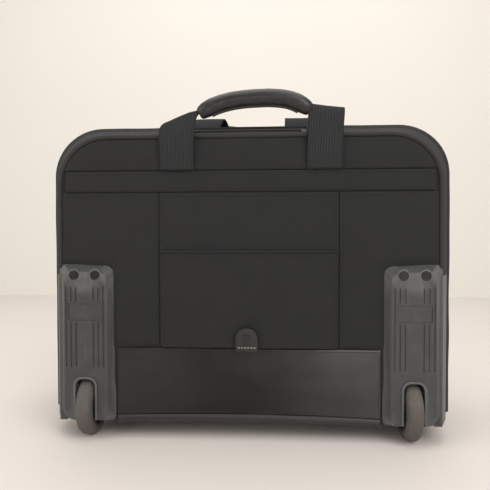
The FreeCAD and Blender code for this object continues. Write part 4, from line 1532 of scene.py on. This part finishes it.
    def teeth(self, name: str, body: str, depth: float) -> None:
        """Make a row of coil turns round the bag.

        Args:
            name: the piece's name.
            body: the body it rides on.
            depth: the row's depth, in millimetres.
        """
        at = self.at
        stops = self.outline(depth).walk(at.foot + 4 * MM, at.mark)
        line = [Vector((x, at.at(depth), z)) for (x, z), _ in stops]
        ways = [Vector((u, 0, v)) for _, (u, v) in stops]
        build = bmesh.new()
        along = lengths(line)
        cursor, start = 0, 0.0
        while start < along[-1] - self.pitch:
            while along[cursor + 1] < start:
                cursor += 1
            share = (start - along[cursor]) / (along[cursor + 1] - along[cursor])
            point = line[cursor].lerp(line[cursor + 1], share)
            way = ways[cursor].lerp(ways[cursor + 1], share).normalized()
            ahead = (line[cursor + 1] - line[cursor]).normalized()
            turn = Matrix((ahead, Vector((0, 1, 0)), way)).transposed().to_4x4()
            place = Matrix.Translation(point - way * 0.7 * MM) @ turn
            size = Matrix.Diagonal((0.55 * MM, 1.5 * MM, 0.9 * MM, 1.0))
            bmesh.ops.create_icosphere(build, subdivisions=1, radius=0.62, matrix=place @ size)
            start += self.pitch
        for face in build.faces:
            face.smooth = True
        self.shop.book(finish_mesh(name, build), body, Slot.ZIP_TAPE, finish=Extra.COIL)


@dataclass
class Lid(SubAssembly):
    """The front section's panel, pocket, piping and organiser.

    Attributes:
        corner: the front pocket's corner radius.
        roll: how wide the pocket's rolled edge is.
        hem: how far inside its edge the pocket's thread runs.
        tape_half: half the width of the pocket's zip tape.
        tape_thick: that tape's thickness.
        zip_end: how far inside the pocket's sides its zip ends.
    """

    corner: float = 24 * MM
    roll: float = 7 * MM
    hem: float = 11 * MM
    tape_half: float = 4.5 * MM
    tape_thick: float = 0.25 * MM
    zip_end: float = 14 * MM

    def build(self) -> None:
        """Make the pieces."""
        at, shop = self.at, self.shop
        arch = at.front.inset(at.pipe_radius)
        low, high = box("lid_panel")
        face = high[1]
        panel = Quilt("lid_pad", (-arch.half, arch.half), (low[2], arch.top), face - 1 * MM, 1.0,
                      rise=1.4 * MM, crown=0.0, arch=arch, wave=0.3 * MM, step=6 * MM)
        shop.book(panel.make(), "lid", Slot.FABRIC, "lid_panel")
        inner = Quilt("lid_lining", (-arch.half, arch.half), (low[2] + 3 * MM, arch.top),
                      low[1], -1.0, rise=0.2 * MM, crown=0.0, arch=arch, wave=0.2 * MM,
                      step=8 * MM)
        shop.book(inner.make(), "lid", Slot.LINING)
        line = [Vector((x, face, z)) for (x, z), _ in at.front.walk(at.floor, at.mark)]
        cord = sweep("lid_cord", line, lambda share: ring(at.pipe_radius * 0.98, 14))
        shop.book(cord, "lid", Slot.FABRIC, "lid_piping", finish=Extra.PIPING)
        self.pocket()
        self.organiser()

    def pocket(self) -> None:
        """Make the front pocket with its zip."""
        shop = self.shop
        low, high = box("front_pocket")
        slider = box("pocket_slider")
        pocket = Quilt("front_pocket_pad", (low[0], high[0]), (low[2], high[2]), low[1], 1.0,
                       rise=high[1] - low[1] - 0.2 * MM, crown=0.0, roll=self.roll, round_=self.corner,
                       wave=0.5 * MM)
        shop.book(pocket.make(), "lid", Slot.FABRIC, "front_pocket")
        for number, line in enumerate(pocket.inset(self.hem, Side.LOW)):
            thread(shop, f"front_pocket_thread_{number}", pocket, line, "lid")
        middle = (slider[0][2] + slider[1][2]) / 2
        near, far = low[0] + self.zip_end, high[0] - self.zip_end
        line = [Vector((near + (far - near) * step / 40, high[1], middle)) for step in range(41)]
        half, thick = self.tape_half, self.tape_thick
        flat = [(-half, 0.0), (-half, thick), (half, thick), (half, 0.0)]
        tape = sweep("front_pocket_tape", line, lambda share: flat)
        shop.book(tape, "lid", Slot.ZIP_TAPE)
        way = Vector((0, 1, 0))
        for number, side in enumerate((-1, 1)):
            row = [point + Vector((0, 0.1 * MM, side * 0.8 * MM)) for point in line]
            coil = stitches(f"front_pocket_coil_{number}", row, lambda point: way,
                            1.0 * MM, 0.7 * MM, 0.5 * MM)
            shop.book(coil, "lid", Slot.ZIP_TAPE, finish=Extra.COIL)

    def organiser(self) -> None:
        """Make the padded organiser inside the lid."""
        low, high = box("lid_organiser")
        board = Quilt("organiser_pad", (low[0], high[0]), (low[2], high[2]), high[1], -1.0,
                      rise=high[1] - low[1] - 0.3 * MM, crown=0.0, wave=0.4 * MM, round_=12 * MM)
        self.shop.book(board.make(), "lid", Slot.LINING, "lid_organiser")
        third = (high[0] - low[0]) / 3
        for number in (1, 2):
            x = low[0] + third * number
            thread(self.shop, f"organiser_thread_{number}", board,
                   [(x, low[2] + 8 * MM), (x, high[2] - 8 * MM)], "lid", Slot.LINING)
        thread(self.shop, "organiser_thread_top", board,
               [(low[0] + 6 * MM, high[2] - 8 * MM), (high[0] - 6 * MM, high[2] - 8 * MM)],
               "lid", Slot.LINING)


@dataclass
class Interior(SubAssembly):
    """The padded laptop sleeve and its closing strap.

    Attributes:
        wall: the sleeve's wall.
        strap_half: half the strap's thickness.
    """

    wall: float = 3 * MM
    strap_half: float = 0.7 * MM

    def build(self) -> None:
        """Make the pieces."""
        low, high = box("laptop_sleeve")
        wall = self.wall
        rows = []
        for inset, z in ((0.0, low[2]), (0.0, high[2] - 1 * MM), (0.8 * MM, high[2]),
                         (wall - 0.8 * MM, high[2]), (wall, high[2] - 1 * MM),
                         (wall, low[2] + wall)):
            rows += self.loop(low, high, inset, z, rows)
        pouch = grid_mesh("laptop_pouch", rows, closed=True, capped=True)
        self.shop.book(pouch, "case", Slot.LINING, "laptop_sleeve")
        low, high = box("laptop_strap")
        across = (high[0] - low[0]) / 2
        line = [Vector((0, low[1] + (high[1] - low[1]) * step / 12, low[2] + 0.8 * MM))
                for step in range(13)]
        half = self.strap_half
        flat = [(-across, -half), (across, -half), (across, half), (-across, half)]
        strap = sweep("laptop_ribbon", line, lambda share: flat, Vector((0, 0, 1)))
        self.shop.book(strap, "case", Slot.WEBBING, "laptop_strap")

    @staticmethod
    def loop(low: Vector, high: Vector, inset: float, z: float, rows: Grid) -> Grid:
        """Make the pouch's loops up to a height.

        Args:
            low: the sleeve's lowest corner.
            high: its highest.
            inset: how far inside its faces they run.
            z: the height.
            rows: the loops made so far.

        Returns:
            The new loops.
        """
        levels = [z]
        if rows and abs(rows[-1][0][2] - z) > 40 * MM:
            before = rows[-1][0][2]
            levels = [before + (z - before) * step / 16 for step in range(1, 17)]
        loops = []
        for level in levels:
            x0, x1, y0, y1 = low[0] + inset, high[0] - inset, low[1] + inset, high[1] - inset
            row = [Vector((x0 + (x1 - x0) * step / 24, y0, level)) for step in range(25)]
            row += [Vector((x1 + (x0 - x1) * step / 24,
                            y1 + 0.8 * MM * ripple(step, 0, level * 20, 1.3) - 0.8 * MM, level))
                    for step in range(25)]
            loops.append(row)
        return loops


def ribbon(name: str, inner: Sequence[Vector], outer: Sequence[Vector], thick: float,
           crown: float = 0.0) -> bpy.types.Object:
    """Make a flat strap between two edge lines.

    Args:
        name: the piece's name.
        inner: one edge's points.
        outer: the other edge's points.
        thick: the strap's thickness.
        crown: how far its middle stands off.

    Returns:
        The new object.
    """
    rows = []
    steps = 10
    for number, (first, last) in enumerate(zip(inner, outer)):
        after, before = min(number + 1, len(inner) - 1), max(number - 1, 0)
        ahead = (inner[after] + outer[after]) - (inner[before] + outer[before])
        up = ahead.cross(last - first).normalized()
        face = [first.lerp(last, step / steps) for step in range(steps + 1)]
        tall = [crown * (1 - (2 * step / steps - 1) ** 2) for step in range(steps + 1)]
        upper = [point + up * (thick / 2 + rise) for point, rise in zip(face, tall)]
        lower = [point - up * (thick / 2 - rise) for point, rise in zip(face, tall)]
        rows.append(upper + lower[::-1])
    return grid_mesh(name, rows, closed=True, capped=True)


@dataclass
class CarryGrip:
    """A leather grip sewn round a carry handle.

    Attributes:
        name: the piece's name.
        line: the middle of the grip from end to end.
        up: a direction across the line.
        tall, deep: its size at mid-span.
        lip: how far its sewn edge hangs.
        taper: the share of its length over which each end narrows.
        blunt: an end's size as a share of the middle's.
    """

    name: str
    line: Sequence[Vector]
    up: Vector
    tall: float
    deep: float
    lip: float = 2.6 * MM
    taper: float = 0.17
    blunt: float = 0.5

    def section(self, share: float) -> list[tuple[float, float]]:
        """Work out the grip's outline.

        Args:
            share: the share of the way along.

        Returns:
            Its (along the depth, up) pairs.
        """
        end = min(share, 1 - share)
        full = self.blunt + (1 - self.blunt) * math.sqrt(1 - (1 - min(end / self.taper, 1.0)) ** 2)
        spots = []
        for step in range(28):
            angle = 2 * math.pi * step / 28
            side, rise = math.cos(angle), math.sin(angle)
            a = math.copysign(abs(side) ** 0.72, side) * self.deep / 2
            b = math.copysign(abs(rise) ** 0.85, rise) * self.tall / 2
            if rise < 0:
                a *= 1 - 0.5 * (-rise) ** 2.2
            crease = 0.35 * MM * ripple(share * 9, side, rise, 2.1)
            spots.append((a * full + crease, b * full + crease))
        return spots

    def build(self, shop: Workshop, body: str, *replaced: str) -> None:
        """Make the grip, its sewn lip and its thread.

        Args:
            shop: books the pieces.
            body: the body they ride on.
            replaced: the frame node it stands for.
        """
        piece = sweep(self.name, self.line, self.section, self.up)
        shop.book(piece, body, Slot.LEATHER, *replaced)
        lower = self.offset(-self.tall / 2 - self.lip * 0.2)
        bare = len(lower) // 8  # the lip stops short of both ends
        lower = lower[bare:-bare]
        flat = [(-1.5 * MM, -self.lip / 2), (1.5 * MM, -self.lip / 2),
                (1.9 * MM, self.lip / 2), (-1.9 * MM, self.lip / 2)]
        lip = sweep(f"{self.name}_lip", lower, lambda share: flat, self.up)
        shop.book(lip, body, Slot.LEATHER)
        depth = self.up.normalized()
        for number, side in enumerate((-1, 1)):
            row = [point + depth * side * 1.7 * MM for point in lower]
            sewn = stitches(f"{self.name}_thread_{number}", row, lambda point: depth * side,
                            3 * MM, 1.4 * MM, 0.3 * MM)
            shop.book(sewn, body, Slot.LEATHER, finish=Extra.THREAD)

    def offset(self, by: float) -> list[Vector]:
        """Move the line up.

        Args:
            by: how far.

        Returns:
            The new line's points.
        """
        moved = []
        for number, point in enumerate(self.line):
            after, before = min(number + 1, len(self.line) - 1), max(number - 1, 0)
            ahead = self.line[after] - self.line[before]
            side = ahead.cross(self.up).normalized()
            moved.append(point + side * by)
        return moved


@dataclass
class Handles(SubAssembly):
    """The two carry handles and the stitched patches they stand on.

    The tables are in millimetres. A strap's rows give its inner and outer edge's x, how far it
    lies behind or before its line, how far up, and how much higher its outer edge is there. A
    grip's rows give x and how far its middle lies under the highest place.

    Attributes:
        thick: a strap's thickness.
        tall: the back grip's height at mid-span.
        deep: the front grip's size at mid-span.
        lean: how far the front handle's left strap leans in.
        patch_share: a patch's thickness as a share of its frame node's.
        wide: a front strap's width.
        edges: the two patches' sides.
        left: the back handle's left strap.
        right: its right strap.
        grip: its grip.
    """

    thick: float = 1.9 * MM
    tall: float = 16.6 * MM
    deep: float = 17.5 * MM
    lean: float = 8 * MM
    patch_share: float = 0.45
    wide: float = 38 * MM
    edges: Rows = ((-95.6 * MM, -57.6 * MM), (66.0 * MM, 103.6 * MM))
    left: Rows = ((-57.6, -95.6, 1.6, 3.6, 0), (-57.6, -95.8, -1, 22, 0), (-57, -96, -2, 42, -1),
                  (-55.5, -93, -1, 56, -4), (-52, -82, 1, 65, -7), (-44, -64, 3, 70, -4))
    right: Rows = ((66, 103.6, 1.6, 3.6, 0), (66.2, 104.2, -1, 24, 0), (66.5, 105, -1.5, 48, 0),
                   (67, 106, -1, 66, -3), (67, 106, 2, 73.5, -5), (66, 105, 8, 74, -6))
    grip: Rows = ((-52, 17.5), (-44, 12.4), (-34, 7.6), (-20, 3.6), (-5, 1.2), (12, 0.2), (26, 0),
                  (42, 1.6), (54, 5.2), (63, 10.2), (70, 15.5))

    def build(self) -> None:
        """Make the pieces."""
        self.back()
        self.front()

    def patches(self, edges: Sequence[tuple[float, float]]) -> None:
        """Make the box-stitched strap ends on the back.

        Args:
            edges: the left and right side of each.
        """
        low, high = box("strap_patches")
        replaced = ["strap_patches"]
        for word, spans in zip(("left", "right"), edges):
            patch = Quilt(f"strap_{word}_patch", spans, (low[2], high[2]), high[1],
                          rise=(high[1] - low[1]) * self.patch_share, crown=0.0, roll=0.8 * MM, wave=0.0,
                          step=3 * MM)
            self.shop.book(patch.make(), "case", Slot.WEBBING, *replaced)
            replaced = []
            edge, top = 2 * MM, high[2] - 1.5 * MM
            corners = [(spans[0] + edge, low[2] + edge), (spans[1] - edge, low[2] + edge),
                       (spans[1] - edge, top), (spans[0] + edge, top),
                       (spans[0] + edge, low[2] + edge)]
            thread(self.shop, f"strap_{word}_patch_thread", patch, corners, slot=Slot.WEBBING)

    def back(self) -> None:
        """Make the back handle: two straps folding in to an arched grip."""
        low, high = box("back_handle_straps")
        grip_low, grip_high = box("back_handle_grip")
        middle, foot = (low[1] + high[1]) / 2, low[2]
        self.patches(self.edges)
        replaced = ["back_handle_straps"]
        for word, knots in (("left", self.left), ("right", self.right)):
            edges = []
            for side in (0, 1):
                line = [(spot[side] * MM, middle + out * MM, foot + (up + side * slant) * MM)
                        for *spot, out, up, slant in knots]
                edges.append(spline(line, 8))
            strap = ribbon(f"back_strap_{word}", edges[0], edges[1], self.thick, 0.4 * MM)
            self.shop.book(strap, "back_handle", Slot.WEBBING, *replaced)
            replaced = []
        tall = self.tall
        centre = grip_high[2] - tall / 2
        y = (grip_low[1] + grip_high[1]) / 2
        line = spline([(x * MM, y, centre - drop * MM) for x, drop in self.grip], 8)
        grip = CarryGrip("back_grip", line, Vector((0, 1, 0)), tall, grip_high[1] - grip_low[1])
        grip.build(self.shop, "back_handle", "back_handle_grip")

    def front(self) -> None:
        """Make the front handle, which lies over the top towards the front."""
        low, high = box("front_handle_straps")
        grip_low, grip_high = box("front_handle_grip")
        outer = high[0]
        inner = outer - self.wide
        foot = low[2]
        crest, end = high[2] - 1 * MM, high[1]
        line_y = (box("main_gusset")[1][1] + box("front_handle_straps")[0][1]) / 2 - 7 * MM
        replaced = ["front_handle_straps"]
        for side, word in ((-1, "left"), (1, "right")):
            lean = self.lean if side < 0 else 0.0
            knots = [(line_y, foot, 0.0), (line_y + 3 * MM, foot + 12 * MM, 0.2),
                     (line_y + 9 * MM, foot + 26 * MM, 0.6), (line_y + 17 * MM, crest, 1.0),
                     (line_y + 27 * MM, crest - 3 * MM, 1.4), (end, crest - 10 * MM, 1.6)]
            edges = [spline([(side * (x - lean * share), y, z) for y, z, share in knots], 8)
                     for x in (inner, outer)]
            strap = ribbon(f"front_strap_{word}", edges[0], edges[1], self.thick, 0.3 * MM)
            self.shop.book(strap, "front_handle", Slot.WEBBING, *replaced)
            replaced = []
        half = outer - self.wide / 2
        deep = self.deep
        far = grip_high[1] - deep * 0.5
        near = end - 2 * MM
        rest = grip_low[2] + deep / 2
        knots = [(-half + 10 * MM, near, crest - 9 * MM), (-half * 0.55, near + 6 * MM, crest - 12 * MM),
                 (-half * 0.25, far - 8 * MM, rest + 6 * MM), (0, far - 1 * MM, rest + 1 * MM),
                 (half * 0.5, far, rest), (half - 7 * MM, far - 7 * MM, rest + 4 * MM),
                 (half - 2 * MM, near, crest - 13 * MM)]
        grip = CarryGrip("front_grip", spline(knots, 9), Vector((0, 0.35, 0.94)), deep, deep)
        grip.build(self.shop, "front_handle", "front_handle_grip")


# ---------------------------------------------------------------------------------------------
# The stage


@dataclass(frozen=True)
class Lamp:
    """A soft light."""

    name: str
    place: tuple[float, float, float]
    aim: tuple[float, float, float]
    size: float
    power: float
    tint: tuple[float, float, float] = (1.0, 0.98, 0.95)

    def hang(self) -> None:
        """Add the light."""
        light = bpy.data.lights.new(self.name, "AREA")
        light.size = self.size
        light.energy = self.power
        light.color = self.tint
        holder = bpy.data.objects.new(self.name, light)
        holder.location = self.place
        way = Vector(self.aim) - Vector(self.place)
        holder.rotation_euler = way.to_track_quat("-Z", "Y").to_euler()
        bpy.context.scene.collection.objects.link(holder)


@dataclass
class Stage:
    """The pale table and wall, the lights and the camera.

    Attributes:
        floor_tone: the table's colour.
        wall_tone: the wall's colour.
        room_tone: the colour of the light from all round.
        room_strength: that light's strength.
        eye: the camera's place, its y counted from the back panel's face.
        turn: the camera's turn about each axis, in degrees.
        lamps: the lights.
    """

    floor_tone: Colour = (0.74, 0.69, 0.655)
    wall_tone: Colour = (0.80, 0.77, 0.725)
    room_tone: Colour = (1.0, 0.97, 0.94)
    room_strength: float = 0.62
    eye: tuple[float, float, float] = (0.030, -0.5403, 0.231)
    turn: tuple[float, float, float] = (90 - 1.43, 0.14, 3.38)
    lamps: tuple[Lamp, ...] = (
        Lamp("key", (0.9, -1.3, 1.3), (0.0, 0.0, 0.2), 1.1, 17.0),
        Lamp("side", (-1.3, -0.9, 0.9), (0.0, 0.0, 0.2), 1.2, 9.0, (1.0, 0.96, 0.9)),
        Lamp("low", (0.25, -1.7, 0.16), (0.0, 0.0, 0.02), 0.5, 3.2),
        Lamp("top", (0.0, 0.1, 1.9), (0.0, 0.0, 0.0), 1.6, 15.0),
    )

    def set(self) -> None:
        """Set the stage."""
        self.surface("table", [(-3, -1.6, 0), (3, -1.6, 0), (3, 1.15, 0), (-3, 1.15, 0)],
                     self.floor_tone)
        self.surface("wall", [(-3, 1.15, -1), (3, 1.15, -1), (3, 1.15, 3), (-3, 1.15, 3)],
                     self.wall_tone)
        for lamp in self.lamps:
            lamp.hang()
        world = bpy.data.worlds.new("room")
        world.use_nodes = True
        background = world.node_tree.nodes["Background"]
        background.inputs["Color"].default_value = (*self.room_tone, 1.0)
        background.inputs["Strength"].default_value = self.room_strength
        scene = bpy.context.scene
        scene.world = world
        scene.view_settings.view_transform = "Standard"
        self.camera()

    def surface(self, name: str, corners: Sequence[tuple], tone: tuple) -> None:
        """Add a plain surface with a slightly uneven tone.

        Args:
            name: its name.
            corners: its four corners.
            tone: its colour.
        """
        mesh = bpy.data.meshes.new(name)
        mesh.from_pydata(corners, [], [(0, 1, 2, 3)])
        piece = bpy.data.objects.new(name, mesh)
        bpy.context.scene.collection.objects.link(piece)
        graph = Graph(f"{name}_paint")
        cloud = graph.noise(2.5, 3.0)
        dark = tuple(part * 0.96 for part in tone)
        graph.feed("Base Color", graph.mix(cloud, dark, tone))
        graph.feed("Roughness", (cloud * 0.1 + 0.5).clamp())
        graph.feed("Specular IOR Level", 0.25)
        mesh.materials.append(graph.material)

    def camera(self) -> None:
        """Add the camera, a little right of the middle and turned a little left."""
        scene = bpy.context.scene
        lens = bpy.data.cameras.new("camera")
        lens.lens = lens.sensor_width = 36.0
        holder = bpy.data.objects.new("camera", lens)
        back = box("back_panel")[0][1]
        holder.location = (self.eye[0], back + self.eye[1], self.eye[2])
        holder.rotation_euler = [math.radians(angle) for angle in self.turn]
        scene.collection.objects.link(holder)
        scene.camera = holder


def main() -> None:
    """Build the scene."""
    logging.basicConfig(level=logging.INFO, format="%(message)s")
    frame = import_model()
    palette = Palette()
    palette.dress_frame(frame)
    shop = Workshop(Places(), palette)
    for assembly in (Back, Trolley, Skirt, Lid, Interior, Handles):
        assembly(shop).build()
        LOG.info("%s built", assembly.__name__)
    Stage().set()


if __name__ == "__main__":
    main()
